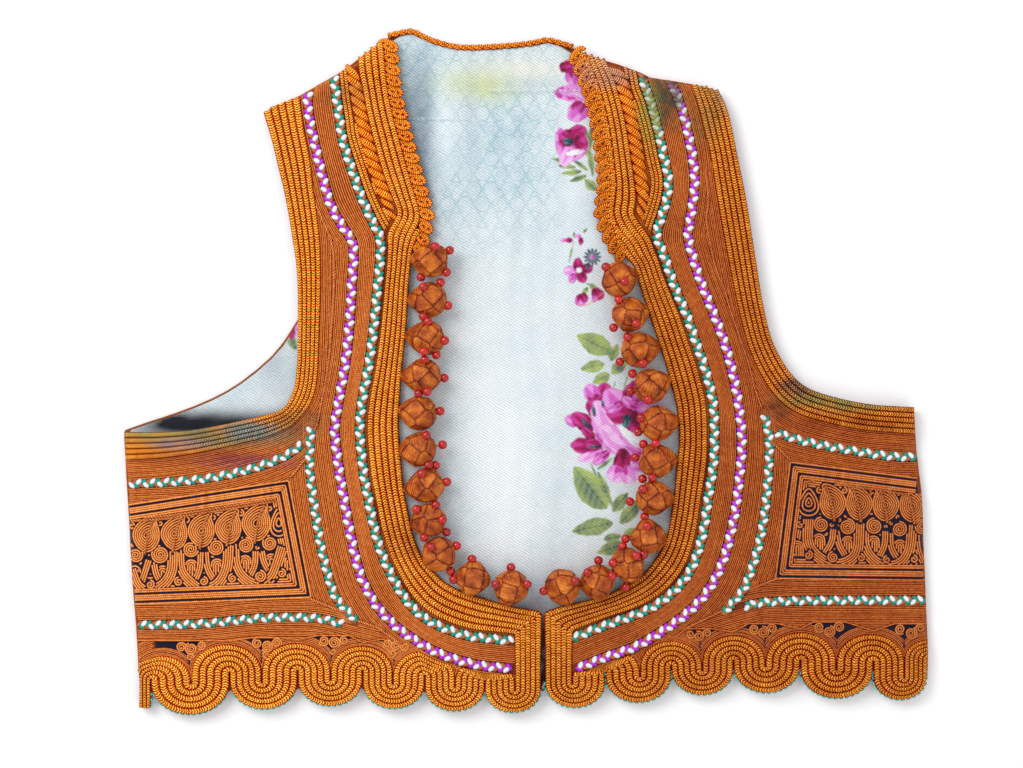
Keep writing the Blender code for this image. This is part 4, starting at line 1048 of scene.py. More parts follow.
def spread(outline, box, step, clear=0.6):
    """Points of a staggered grid in the part of an outline that lies in a box."""
    x0, x1, y0, y1 = box
    grid = np.stack(np.meshgrid(np.arange(y0, y1, step * 0.87), np.arange(x0, x1, step), indexing="ij"), -1)
    grid = grid[..., ::-1].copy()
    grid[1::2, :, 0] += step / 2
    grid = grid.reshape(-1, 2)
    grid = grid[inside(grid, outline)]
    return grid[to_line(grid, as_loop(outline)) > clear]


# Middle lines of the braids. Below the neck the green one lies beside the front edge band.
GREENS = {side: smooth([*GREEN_TOP[side], *(row[2:] for row in EDGE[side][NECK_ROWS[side]:])], 2)
          for side in SIDES}
VIOLETS = {side: smooth(VIOLET_LINE[side], 2) for side in SIDES}
BRAIDS = {side: {name: smooth(line, 2) for name, line in SIDE_BRAIDS[side].items()} for side in SIDES}
RIM_ROWS = (0.6, 1.4, 2.6, 4.2, 6.0, 8.0)  # rows of points beside a fold, closer where the cloth curls


def worked_top(points):
    """Front cloth with a slight unevenness between its rows of stitching."""
    ripple = np.sin(points[:, 0] * 0.9 + 2.0 * np.sin(points[:, 1] * 0.11))
    return front_top(points) + 0.06 * ripple - 0.06


for side in SIDES:
    outline = front_outline(side)
    inner = spread(outline, box_of(outline), 4.0, 1.5)
    inner = inner[from_folds(inner) > RIM_ROWS[-1] + 0.5]
    rows = [respaced(shifted(line, way * off), 3.0) for line in list(FOLDS[side].values())[::SIGN[side]]
            for way in (1, -1) for off in RIM_ROWS]
    rows = np.vstack([row[inside(row, outline)] for row in rows])
    rows = rows[to_line(rows, as_loop(outline)) > 0.5]
    front = cloth(side + "_front_ground", outline, np.vstack([inner, rows]), worked_top, front_under,
                  brown, (side + "_front_cloth",))
    area = sum(a[0] * b[1] - b[0] * a[1] for a, b in zip(outline, np.roll(outline, -1, 0))) / 2
    flat_size(outline)
    abs(area) / 1e6

back_edge = back_outline(0, 0, 1.5)
back = cloth("back_outside", back_edge, spread(back_edge, box_of(back_edge), 9.0, 2.0),
             lambda p: np.full(len(p), BACK_THICK), lambda p: np.zeros(len(p)), corded_back,
             ("back_cloth",))
flat_size(back_edge)


# The printed lining: flowers, rings, seams and painted shadows, painted by formula on a fine mesh.

def blend(paint, share, code):
    share = np.clip(share, 0, 1)[:, None]
    paint[:] = paint * (1 - share) + np.array(rgb(code)) * share


def soft_edge(distance, reach):
    """1 inside, fading to 0 over this reach outside a distance of 0."""
    return np.clip(0.5 - distance / reach, 0, 1)


def uneven(points, size, seed):
    """Slow noise between -1 and 1 from a few crossed waves."""
    total = np.zeros(len(points))
    draw = np.random.default_rng(seed)
    for n in range(6):
        turn, phase = draw.uniform(0, TAU, 2)
        reach = size * (0.6 + 0.28 * n)
        total += np.sin((points[:, 0] * math.cos(turn) + points[:, 1] * math.sin(turn)) * TAU / reach + phase)
    return total / 3.4


def petal(paint, points, x, y, long, wide, turn, tone, seed=0):
    """A petal of watercolour, its place and half sizes in pixels of the photograph. It is palest at its
    tip and deepens in streaks to its foot, which points the way it is turned, in degrees."""
    long, wide = long * PHOTO_SCALE, wide * PHOTO_SCALE
    centre = from_photo(x, y)
    near = np.hypot(*(points - centre).T) < max(long, wide) * 1.3
    if not near.any():
        return
    spots, part = points[near] - centre, paint[near]
    cos, sin = math.cos(math.radians(turn)), math.sin(math.radians(turn))
    u = (spots[:, 0] * cos + spots[:, 1] * sin) / long
    v = (spots[:, 1] * cos - spots[:, 0] * sin) / wide
    small = min(long, wide)
    edge = (np.hypot(u, v) - 1 + 0.11 * uneven(spots, small * 1.6, seed)) * small
    body, loose = soft_edge(edge, 0.7), uneven(spots, small * 1.1, seed + 1)
    pale, full, deep = TONES[tone]
    blend(part, body, full)
    blend(part, body * np.clip(2.4 * (-0.8 * u - 0.15 + 0.4 * np.sin(6 * v + seed)), 0, 0.85), pale)
    streaks = 0.8 * u - 0.2 + 0.4 * loose + 0.3 * np.sin(7 * v - seed)
    blend(part, body * np.clip(2.6 * streaks, 0, 0.95), deep)
    blend(part, body * np.clip(1 + edge / 0.6, 0, 1) * 0.4, full if seed % 2 else deep)
    paint[near] = part


def leaf(paint, points, x0, y0, x1, y1, wide, seed):
    """A pointed leaf from its stalk to its tip, in pixels of the photograph."""
    foot, tip, wide = from_photo(x0, y0), from_photo(x1, y1), wide * PHOTO_SCALE
    size = math.hypot(*(tip - foot))
    near = np.hypot(*(points - (foot + tip) / 2).T) < size
    if not near.any():
        return
    spots, part, way = points[near] - foot, paint[near], (tip - foot) / size
    along, beside = spots @ way / size, np.abs(spots @ np.array((-way[1], way[0])))
    half = wide / 2 * np.sin(math.pi * np.clip(along, 0, 1)) ** 0.7 * (1.15 - 0.4 * along)
    edge = beside - half + 0.25 * uneven(points[near], 5.0, seed)
    body = soft_edge(edge, 0.8) * ((along > 0) & (along < 1))
    blend(part, body, "B2C26C")
    vein = np.abs(np.mod(along * 7 + beside / size * 5, 1) - 0.5) * 2
    dark = np.clip(0.35 + 0.5 * uneven(points[near], size * 0.7, seed + 5), 0, 1)
    dark = dark + soft_edge(beside - 0.3, 0.8) * 0.5
    blend(part, body * np.clip(dark * (0.6 + 0.4 * vein), 0, 0.9), "365460")
    paint[near] = part


# Tip, body and foot colours of a petal.
TONES = {
    "p": ("F0A4E6", "DC60C6", "9C0C54"),
    "m": ("D43C98", "A80C5A", "60042C"),
    "l": ("F8C8F2", "EC92DE", "C832A0"),
    "w": ("FFFFFF", "F6FAFC", "E8D0EC"),
    "n": ("708894", "30485A", "142230"),
}
# Petals of the print in pixels of the photograph: place, half length, half width, turn, tone.
PETALS = (
    (573, 77, 9, 8, 90, "p"), (566, 66, 7, 6, 200, "m"), (572, 93, 16, 9, 170, "l"),
    (578, 112, 11, 10, 60, "p"), (571, 144, 16, 16, 90, "p"), (569, 152, 14, 8, 60, "l"),
    (575, 133, 12, 7, 210, "m"), (561, 139, 6, 10, 0, "p"), (566, 139, 8, 7, -30, "m"),
    (580, 141, 6, 10, 180, "m"), (568, 141, 5, 4, 0, "n"), (575, 152, 8, 2.4, 10, "w"),
    (604, 394, 11, 8, -100, "m"), (592, 393, 9, 8, -60, "p"), (595, 409, 11, 8, -60, "m"),
    (605, 412, 12, 7, -80, "p"), (573, 421, 8, 6, -30, "p"), (583, 422, 13, 8, -35, "m"),
    (589, 434, 9, 5, -50, "m"), (591, 454, 13, 7, 30, "l"), (583, 445, 11, 8, 0, "m"),
    (594, 445, 8, 6, 0, "m"), (602, 458, 10, 5, 40, "p"), (606, 428, 27, 12, -70, "l"),
    (617, 404, 17, 14, -60, "p"), (631, 395, 14, 8, -110, "m"), (641, 408, 10, 15, 200, "p"),
    (622, 414, 15, 10, 0, "m"), (616, 407, 9, 5, 30, "p"), (630, 403, 9, 5, -40, "p"),
    (637, 424, 8, 12, 120, "m"), (627, 421, 7, 4, 80, "n"), (615, 440, 20, 10, -50, "l"),
    (626, 447, 20, 11, -40, "l"), (635, 455, 14, 7, -30, "p"), (630, 437, 14, 4, -45, "w"),
    (622, 465, 15, 9, 80, "m"), (616, 474, 8, 9, 60, "l"), (630, 475, 9, 9, 110, "l"),
    (641, 466, 10, 6, 0, "p"), (586, 424, 6, 2, -50, "n"), (594, 411, 5, 1.8, -80, "n"),
    (595, 447, 5, 1.8, 0, "n"), (603, 404, 3, 1.5, -80, "n"), (571, 271, 7, 6, 0, "l"),
    (578, 264, 6, 5, -90, "m"), (587, 268, 6, 5, 180, "m"), (582, 277, 6, 5, 100, "m"),
    (573, 278, 5, 4, 45, "p"), (579, 270, 2.5, 2.5, 0, "w"), (588, 266, 3, 2, 60, "n"),
    (581, 300, 6, 6, 100, "p"), (584, 297, 5, 4, 120, "m"), (598, 294, 7, 6, 150, "m"),
    (595, 298, 4, 3, 90, "p"), (569, 240, 3.5, 2.6, 0, "m"), (563, 240, 2.5, 2, 0, "l"),
    (581, 241, 3.5, 2.6, 90, "m"), (578, 236, 3, 2, 0, "l"), (290, 320, 8, 7, -90, "m"),
    (284, 328, 7, 6, 20, "p"), (295, 328, 7, 6, 160, "l"), (290, 333, 6, 5, 90, "m"),
)
DAISY = (592.5, 256.7)
# Leaves and stems of the print in pixels of the photograph: stalk, tip, width.
LEAVES = (
    (592, 126, 590, 150, 6), (584, 128, 592, 142, 5), (583, 143, 593, 160, 7), (590, 150, 593, 176, 6),
    (570, 163, 552, 158, 5), (576, 167, 558, 165, 5), (582, 171, 562, 173, 6), (587, 175, 570, 181, 6),
    (588, 170, 574, 160, 5), (596, 190, 585, 179, 10), (583, 294, 588, 287, 5), (594, 290, 592, 283, 6),
    (574, 241, 569, 262, 1.8), (575, 238, 574, 231, 3), (583, 232, 588, 228, 3), (586, 283, 596, 287, 1.8),
    (603, 270, 606, 262, 4), (612, 352, 577, 335, 22), (605, 364, 581, 369, 13), (610, 374, 593, 383, 12),
    (611, 361, 618, 344, 10), (612, 374, 629, 358, 12), (628, 376, 623, 392, 2), (616, 381, 611, 394, 1.6),
    (607, 509, 574, 467, 30), (598, 472, 613, 507, 8), (613, 523, 572, 532, 18), (604, 540, 622, 536, 10),
    (626, 544, 597, 553, 14), (613, 512, 628, 493, 13), (620, 524, 642, 500, 14), (636, 529, 622, 541, 11),
    (590, 462, 597, 477, 1.8), (597, 470, 613, 458, 4), (289, 336, 296, 350, 9), (285, 337, 276, 350, 8),
)
# Soft stains and shadows of the lining: place, reach, colour, strength.
SHADES = (
    (-25, 158, 20, 9, "D4D888", 0.9), (2, 166, 26, 8, "F0ECDC", 0.7), (-62, 146, 9, 26, "58687A", 0.6),
    (-52, 112, 8, 22, "8A9CAC", 0.4), (-44, 132, 9, 24, "F4FAFC", 0.5), (10, 158, 40, 4, "9FB4C0", 0.3),
    (-58, 60, 8, 60, "7E96A8", 0.3), (-188, -29, 26, 6.5, "08101A", 1.3), (-158, -29, 34, 6, "0C141E", 1.1),
    (9.6, -158, 5, 22, "100A0C", 1.6), (-140, 6, 10, 20, "8E9AA8", 0.5), (-12, -60, 22, 70, "FFFFFF", 0.55),
    (-4, 10, 26, 60, "F8FCFE", 0.4), (-57, 118, 5, 40, "586878", 0.55), (-30, 128, 5, 40, "B4C2CC", 0.5),
    (30, 60, 20, 90, "E6EEF2", 0.6), (6, -122, 20, 14, "7888A0", 0.4), (2, -131, 12, 6, "5A2A20", 0.55),
)
TENDRIL = ((577, 304), (586, 305), (596, 299), (605, 290))  # a yellow stem, in pixels of the photograph
SEAMS = (((-20.0, 153.5), (38.0, 153.5)), ((-74.0, 138.0), (-36.0, 138.5)))  # of the yoke and of a patch
RING_PITCH = 9.6


def lining_paint(points):
    """Colours of the print at points of the lining, with its stains and painted shadows."""
    paint = np.tile(rgb("E2E8E8"), (len(points), 1))
    blend(paint, 0.25 + 0.4 * uneven(points, 46.0, 5), "B8CCD4")
    # Faint rings, side by side in shifted rows, that fade to white further down.
    fade = np.clip((points[:, 1] - 40) / 60, 0, 1) * np.clip((24 - points[:, 0]) / 10, 0, 1) * 0.85
    row = np.round(points[:, 1] / (RING_PITCH * 0.87))
    x = points[:, 0] / RING_PITCH - (np.mod(row, 2) / 2)
    away = np.hypot((x - np.round(x)) * RING_PITCH, points[:, 1] - row * RING_PITCH * 0.87)
    blend(paint, soft_edge(np.abs(away - 4.1) - 0.35, 1.2) * fade, "62AABE")
    blend(paint, soft_edge(np.abs(away - 1.8) - 0.25, 1.0) * fade * 0.8, "7CB8C8")
    # Frosty wear lets the white of the cloth through the print.
    blend(paint, 0.12 + 0.25 * uneven(points, 9.0, 9), "EAF1F5")
    # Stains, pale patches and painted shadows: of folds, of the armhole under the right front's edge, and of
    # the slit between the fronts.
    for *place, code, strength in SHADES:
        blend(paint, hill(points, *place) * strength * (1 + 0.1 * uneven(points, 12.0, 8)), code)
    for seed, place in enumerate(LEAVES):
        leaf(paint, points, *place, seed + 30)
    for seed, place in enumerate(PETALS):
        petal(paint, points, *place, seed)
    for n in range(12):
        turn = TAU * n / 12
        x, y = DAISY[0] + 5.6 * math.cos(turn), DAISY[1] - 5.6 * math.sin(turn)
        petal(paint, points, x, y, 2.8, 1.1, math.degrees(turn), "n", n)
    petal(paint, points, *DAISY, 2.4, 2.2, 0, "p")
    stem = smooth([from_photo(*place) for place in TENDRIL], 1.0)
    blend(paint, soft_edge(to_line(points, stem) - 0.25, 0.7) * 0.8, "D8922E")
    for seam in SEAMS:
        off = to_line(points, np.array(seam))
        blend(paint, soft_edge(off - 0.3, 0.8) * 0.7, "8498A6")
        dash = (np.mod(points[:, 0], 2.6) < 1.5) * (off < 2.0)
        stitch = soft_edge(np.abs(points[:, 1] - seam[0][1] - 1.3) - 0.15, 0.7)
        blend(paint, stitch * dash * 0.8, "FFFFFF")
    return np.clip(paint, 0, 1)


def rumpled_top(points):
    """The lining with its soft wrinkles and the pucker of its seams."""
    x, y = points.T
    high = lining_top(points)
    high += 0.25 * np.sin(x * 0.55 + 1.6 * np.sin(y * 0.045)) * np.exp(-((x + 12) / 40) ** 2)
    seam = np.abs(y - 153.5 + 0.02 * x)
    return high + 0.45 * np.exp(-(seam / 1.6) ** 2) * np.clip((x + 24) / 8, 0, 1)


# Points lie close where the print shows and wide where other layers hide it: box and step of each part.
LINING_PARTS = {
    "flowers": ((14.0, 68.0, -106.0, 176.0), 0.62), "rings": ((-84.0, 13.6, 40.0, 186.0), 1.15),
    "lower": ((-92.0, 13.6, -150.0, 39.5), 2.2), "beside": ((14.0, 21.6, -150.0, 29.5), 1.8),
    "below": ((22.0, 76.0, -150.0, -106.6), 1.8), "above": ((14.0, 76.0, 176.4, 190.0), 1.8),
    "armhole": ((-222.0, -108.0, -48.0, 150.0), 1.7), "bloom": ((-149.5, -118.5, 4.5, 35.5), 0.8),
}
lining_edge = back_outline(3.0, 1.2)
grid = {name: spread(lining_edge, *part) for name, part in LINING_PARTS.items()}
x, y = grid["flowers"].T
grid["flowers"] = grid["flowers"][(y > 30) | (x > 22)]
x, y = grid["armhole"].T
grid["armhole"] = grid["armhole"][~((x > -150) & (x < -118) & (y > 4) & (y < 36))]
rest = spread(lining_edge, box_of(lining_edge), 9.0, 3.0)
x, y = rest.T
rest = rest[~(((x > -95) & (x < 78) & (y > -152)) | ((x < -105) & (y > -52)))]
lining = cloth("lining_sheet", respaced(as_loop(lining_edge), 2.0)[:-1], np.vstack([*grid.values(), rest]),
               rumpled_top, lambda p: lining_top(p) - LINING_THICK, lining_print_and_shadow,
               ("back_lining",), colours=lining_paint)
flat_size(lining_edge)

# Thick cords of the bands.
TAIL_X, TAIL_WIDE = from_photo(156, 0)[0], 10.8


def band_cords(side, name, outer, inner, node, ends):
    """Five thick cords side by side between an outer and an inner line. Beside the neck's loops there
    are four, and the fifth comes out from under the last loop."""
    edge = "edge" in name
    wide = norm(outer - inner, axis=1)
    foot = EDGE[side][NECK_ROWS[side] - 1][1] - (2.5 if side == "right" else 11.0)
    neck = np.clip((outer[:, 1] - foot) / 9.0, 0, 1) * edge
    # At the side of the right hem the cords leave over the fold in turn.
    tail = (side == "right") & edge & (outer[:, 0] < TAIL_X)
    skein = Skein()
    for j in range(CORDS):
        share = (1 - neck) * (j + 0.5) / CORDS + neck * (j + 0.5) / (CORDS - 1) * 0.96
        out = (inner - outer) / wide[:, None] * (1 - share[:, None])
        middle = np.where(tail[:, None], outer + out * np.maximum(wide, TAIL_WIDE)[:, None],
                          inner + (outer - inner) * share[:, None])
        half = wide * ((1 - neck) * 0.107 + neck * 0.127)
        half = np.where(tail, np.maximum(half, 1.1), half)
        path = eased(with_size(middle, half, np.minimum(CORD_HIGH, half * 1.75), 0.1), 0.6, 0.7)
        leaves = 0
        if tail.any():
            shows = on_front(path[:, :2], side)
            leaves = len(path) - np.argmin(shows[::-1]) if not shows[:40].all() else 0
            path = path[leaves if leaves < 60 else 0:]
        last = j == CORDS - 1 and neck.any()
        if last:
            path = path[:np.argmax(path[:, 1] > foot + 4.0)]
        path = over_fold(path, side, ends[0] or leaves > 0, ends[1] and not last)
        lay(skein, path, step=0.6, start=41.0 * j)
    skein.piece(side + name, gold, "gold_cord", node)


HEM = {side: np.array(hem_rows(side, HEM_STEPS)).transpose(1, 0, 2) for side in SIDES}  # outer and inner line
for side in SIDES:
    corner = np.array(CORNER[side])
    before = [(a + (a[0], b[1])) / 2 for a, b in zip(HEM[side][:, -1], corner)]
    lines = [np.vstack([hem, *between, edge[::-1]])
             for hem, *between, edge in zip(HEM[side], before, corner, edge_lines(side, 3))]
    band_cords(side, "_edge_and_hem_cord_band", *lines, side + "_edge_and_hem_cords", (side == "left", True))
    arm = smooth(ARM[side], 3)
    band_cords(side, "_armhole_cord_band", arm[:, :2], arm[:, 2:], side + "_armhole_cords", (True, True))


# Braids of three strands: the look, half width and height of each.
STRANDS = {"white": (white, 1.6, 1.8), "orange": (orange, 1.3, 1.25),
           "teal": (teal, 1.55, 1.65), "violet": (violet, 1.55, 1.65)}


def braid(side, name, line, strand, slot, node, wide=BRAID_WIDE, folds=(True, False)):
    """Plaited strands in two columns that meet in V shapes pointing the way the line runs. folds says
    which ends run on over a fold."""
    size = wide / BRAID_WIDE
    spots = respaced(line, BRAID_LOBE * size)
    left = normals(spots)
    way = np.stack([left[:, 1], -left[:, 0]], 1)
    found = {}
    for column, colours in ((1, (strand, "white", "orange")), (-1, ("white", "orange", strand))):
        centre = spots + way * (0.5 if column > 0 else 0.0) * BRAID_LOBE * size
        start = centre + (left * column * 2.35 - way * 1.35) * size
        end = centre - (left * column * 0.85 - way * 2.0) * size
        for k, colour in enumerate(colours):
            found.setdefault(colour, []).append(np.stack([start[k::3], end[k::3]], 1))
    for colour, groups in found.items():
        both = np.vstack(groups)
        both = both[on_front(both[:, 0], side, -0.8) & on_front(both[:, 1], side, -0.4)]
        skein = Skein()
        look, half, high = STRANDS[colour]
        blobs(skein, both[:, 0], both[:, 1], half * size, high, 0.3)
        skein.piece(f"{name}_{colour}", look, slot, node)
    bed = Skein()
    line = respaced(line, 1.0)[3:-3]  # the core shows only between the strands
    line = with_size(line, STRAND_REACH * size, 0.95, 0.05)
    lay(bed, over_fold(line, side, *folds, slack=-1.6), STRAND, 1.5)
    bed.piece(name + "_core", core, slot, node)


for side in SIDES:
    for name, lines, strand in (("green_braid", GREENS, "teal"), ("violet_braid", VIOLETS, "violet")):
        # The braid runs on over the shoulder fold.
        line = lines[side]
        first = line[0] + (line[0] - line[2]) / norm(line[0] - line[2]) * 4.5
        braid(side, f"{side}_{name}", respaced(np.vstack([first, line]), 1.0), strand, name, f"{side}_{name}")
    for name, line in BRAIDS[side].items():
        line = run_on(line, 2.6) if name == "front" else line
        braid(side, f"{side}_{name}_side_braid", line, "teal", "green_braid", f"{side}_side_{name}_braid",
              BRAID_WIDE - 0.4, (False, name != "front"))


# Spirals in the notches of the hem: place and radius in pixels of the photograph.
NOTCHES = {
    "right": (
        (181.5, 647, 4.6), (191.4, 648.5, 5.6), (201.7, 645, 4.2), (190.5, 657, 3.6), (257.5, 643, 4.6),
        (267.3, 646, 5.6), (277, 642.5, 4.6), (266.7, 655, 3.4), (324, 640.5, 4.8), (334.5, 642.5, 5.6),
        (344.5, 640, 4.2), (333, 651, 3), (387.5, 643.5, 4.2), (396, 646, 4.6), (405, 646.5, 4),
        (393, 653, 3),
    ),
    "left": (
        (690.5, 634, 4), (698.5, 636, 4.8), (707, 633, 4), (754, 629, 4.8), (763, 632, 5.4),
        (772, 628.5, 4.6), (819, 627, 4.8), (829, 631.5, 5.4), (839, 627, 4.8), (900, 629, 4.8),
        (911, 633, 5.6), (920, 628, 4),
    ),
}
# Lines that part the fields of fine cords, from the neck down or towards the side.
PARTINGS = {
    "right": {
        "arm": (
            (-115.5, 91.3), (-110.6, 80.3), (-107.3, 72.1), (-105.6, 61.1), (-105.6, 44.6), (-106.7, 28.1),
            (-107.8, 11.6), (-110, -5), (-112.2, -16), (-114.4, -27), (-116.6, -33.6),
        ),
        "top": ((-118.8, -45.1), (-129.8, -58.9)),
        "low": ((-118.8, -124.9), (-99.6, -132.6)),
        "hem": ((-93, -137), (-82, -140.6), (-69.3, -149.6)),
        "panel": ((-219.5, -73.7), (-130.5, -60.2), (-118, -124.2), (-215.1, -128.2)),
    },
    "left": {
        "arm": (
            (98.5, 110.6), (100.1, 94.1), (99, 83.1), (101.2, 69.3), (104.5, 55.6), (108.9, 44.6),
            (112.2, 33.6), (116.1, 22.6), (119.9, 11.6), (123.2, 0.6), (126, -10.5), (129.8, -21.5),
        ),
        "top": ((134.2, -38), (145.2, -49)),
        "low": ((138.1, -113.9), (124.4, -119.4)),
        "hem": ((110, -131), (104.5, -133.2), (86, -142.4)),
        "panel": ((215.1, -58.9), (145.2, -50.1), (137, -113.9), (219.5, -115)),
    },
}
GOLD_FOOT = {"right": 73.0, "left": 67.0}  # how far down the gold cords beside the green braid run
# Corners between the fields that short cords fill: across from, to, and up from, to.
CORNERS = {
    "right": ((-122.5, -113.5, -42, -24), (-104, -92, -139, -131), (-80, -52, -160, -146)),
    "left": ((96.5, 105.5, 104, 116), (128, 137.5, -40, -20), (116, 128, -122, -114), (70, 92, -152, -136)),
}
CREST_CLEAR = 2.0  # from the top of a hem arch to the level rows above it
ARCH_PITCH = 0.95  # of the cords that follow the arches of the hem
HEM_FOOT = -190.0  # lower than anything on the hem

# Fine cords that fill the fronts.
for side in SIDES:
    sign, right = SIGN[side], side == "right"
    marks = {key: np.array(value, float) for key, value in PARTINGS[side].items()}
    green, violet_line = GREENS[side], VIOLETS[side]
    upper, front, lower = (BRAIDS[side][name] for name in ("upper", "front", "lower"))
    upper, lower, green_top, violet_top = (run_on(line) for line in (upper, lower, green, violet_line))
    arm_inner = run_on(smooth(ARM[side], 3)[:, 2:])
    half = STRAND_REACH
    fine_skein, thick_skein, rope_skein = Skein(), Skein(), Skein()

    # Between the two braids. To the side is to the right of a line that runs down, on the right front.
    first, second = shifted(green, -sign * (half + 0.1)), shifted(violet_line, sign * (half + 0.1))
    for k, line in enumerate(shared(first, second, 9 if right else 10)):
        line = with_size(run_on(line, 4.5)[1:], 0.52, FINE_HIGH, -0.05)
        lay(fine_skein, over_fold(line, side, True, False), RIDGE, 2.4, start=cord_start(k))

    # Down beside the violet braid, as far as the armhole, the line of stitches and the front braid.
    hem_end = np.argmin(norm(violet_top - marks["hem"][-1], axis=1))
    above = arm_inner[:, 1] > marks["arm"][0, 1]
    shape = np.vstack([violet_top[:hem_end], marks["hem"][::-1], lower[1], front[::-1], marks["arm"][::-1],
                       arm_inner[above][::-1]])
    field(fine_skein, side, violet_line, shape, half + 0.45, 36, -sign * FINE_PITCH)

    # Round the armhole band, down to the same line and the upper side braid.
    shape = np.vstack([marks["arm"], upper, arm_inner[~above][::-1]])
    field(fine_skein, side, arm_inner, shape, 0.5, 28, sign * FINE_PITCH)

    for x0, x1, y0, y1 in CORNERS[side]:
        box = ((x0, y0), (x1, y0), (x1, y1), (x0, y1))
        field(fine_skein, side, violet_line, box, half + 0.45, 44, -sign * FINE_PITCH, -0.15)

    # Round the embroidered panel.
    panel, rim = marks["panel"], half - 0.15
    for guide, shape, count, way in (
            (upper, (upper, panel[:2], marks["top"][::-1]), 20, sign),
            (front, (marks["top"], panel[1:3], marks["low"], front[::-1]), 20, -sign),
            (lower, (marks["low"], lower, panel[3:1:-1]), 16, -sign)):
        field(fine_skein, side, guide, np.vstack(shape), rim + 0.5, count, way * FINE_PITCH)

    # Below the lower braid, level rows down to a line just above the arches of the hem, where a
    # strip of the dark ground shows in the notches. Three cords follow each arch.
    arches = HEM[side][1]
    end_x, edge_x = (-64.0 if right else 82.0), lower[-1][0]
    crest = np.array([(x, arches[np.abs(arches[:, 0] - x) < 6, 1].max() + CREST_CLEAR)
                      for x, _ in HEM_TURNS[side][::2]])
    crest = crest[(crest[:, 0] - end_x) * sign < 0]
    # The rows stop higher over each notch, for its spirals.
    groups = np.array(NOTCHES[side], float).reshape(-1, 4 if right else 3, 3)
    over = np.array([from_photo(x, (group[:, 1] - group[:, 2]).min() - 0.6) for group in groups
                     for x in (group[0, 0] - group[0, 2] - 1, group[2, 0] + group[2, 2] + 1)])
    over = over[(over[:, 0] - end_x) * sign < 0]
    level = np.vstack([(edge_x, over[:2, 1].max() if right else over[-2:, 1].max()), crest[1:], over,
                       (end_x, crest[-1, 1] - 3.0)])
    level = level[np.argsort(level[:, 0] * sign)]
    guide = np.vstack([lower[0] + (lower[1] - lower[4]) / norm(lower[1] - lower[4]) * 60, lower])
    shape = np.vstack([lower[::-1], marks["hem"], level[::-1]])
    field(fine_skein, side, guide, shape, rim - 13.5, 44, sign * FINE_PITCH)
    away = shifted(violet_top, -sign * (half + 0.2))
    low_line = away[away[:, 1] < lower[-1][1] + 6]
    shape = np.vstack([lower[::-1], low_line, (12.0 * -sign, HEM_FOOT), (edge_x, HEM_FOOT)])
    field(fine_skein, side, arches, shape, 0.5, 3, sign * ARCH_PITCH)
    corner_x = from_photo(154 if right else 922, 0)[0]
    shape = np.vstack([level, (end_x, HEM_FOOT), (edge_x, HEM_FOOT)])
    field(fine_skein, side, arches, shape, 0.5 + 3 * ARCH_PITCH, 2, sign * ARCH_PITCH)
    lid_cord = respaced(level, 0.8)
    lid_cord = lid_cord[inside(lid_cord, shape + (0, 0.6)) & on_front(lid_cord, side)]
    lay(fine_skein, with_size(lid_cord, 0.6, 1.1, 0.1), step=0.8)
    top = level[0, 1]
    shape = np.array(((edge_x, HEM_FOOT), (corner_x, HEM_FOOT), (corner_x, top), (edge_x, top)))
    field(fine_skein, side, arches, shape, 0.5 + 3 * ARCH_PITCH, 16, sign * ARCH_PITCH)
    near = arches[((arches[:, 0] - end_x) * sign < 0) & ((arches[:, 0] - corner_x) * sign > 0.5)]
    lid = np.interp(near[:, 0] * sign, level[:, 0] * sign, level[:, 1])
    near = np.column_stack([near[:, 0], np.clip(near[:, 1], lid - 14.0, lid - 1.5), lid + 0.4])
    near = near[np.concatenate([[True], np.diff(near[:, 0] * sign) > 0.05])]
    strip = np.vstack([near[:, :2], near[::-1, ::2]])
    cloth(side + "_hem_notch_ground", strip, spread(strip, box_of(strip), 3.0, 0.8),
          lambda p: front_top(p) + 0.12, lambda p: front_top(p) - 0.1, navy,
          (side + "_front_cloth",))

    # Thick gold cords between the neck rope and the green braid.
    long_rope = run_on(smooth(np.array(EDGE[side])[:NECK_ROWS[side], 2:], 3))
    band = run_on(edge_lines(side, 2, half + 0.5)[1])
    low = GOLD_FOOT[side]
    shape = np.vstack([band[band[:, 1] > low], green_top[green_top[:, 1] > low][::-1]])
    for k in range(3):
        line = respaced(shifted(green_top, sign * (half + 1.4 + 2.2 * k)), 1.0)
        keep = (inside(line, shape) & (to_line(line, band) > 1.0) & on_front(line, side)
                & ((line[:, 1] < 90) | (to_line(line, long_rope) > 3.2)))
        for run in runs_of(keep):
            lay(thick_skein, with_size(line[run], 1.2, 1.9, 0.05), step=0.6, start=31.0 * k)

    # Stitched ropes where two fields meet.
    for key in ("arm", "top", "low", "hem"):
        line = smooth(marks[key], 2) if key == "arm" else respaced(marks[key], 1.0)
        lay(rope_skein, with_size(line, 0.95, 1.3, 0.05), step=1.0)

    fine_skein.piece(side + "_front_fine_cords", fine, "copper_cord", side + "_front_cloth")
    thick_skein.piece(side + "_neck_gold_cords", gold, "gold_cord", side + "_front_cloth")
    rope_skein.piece(side + "_field_rope_stitches", rope_stitch, "gold_cord", side + "_front_cloth")


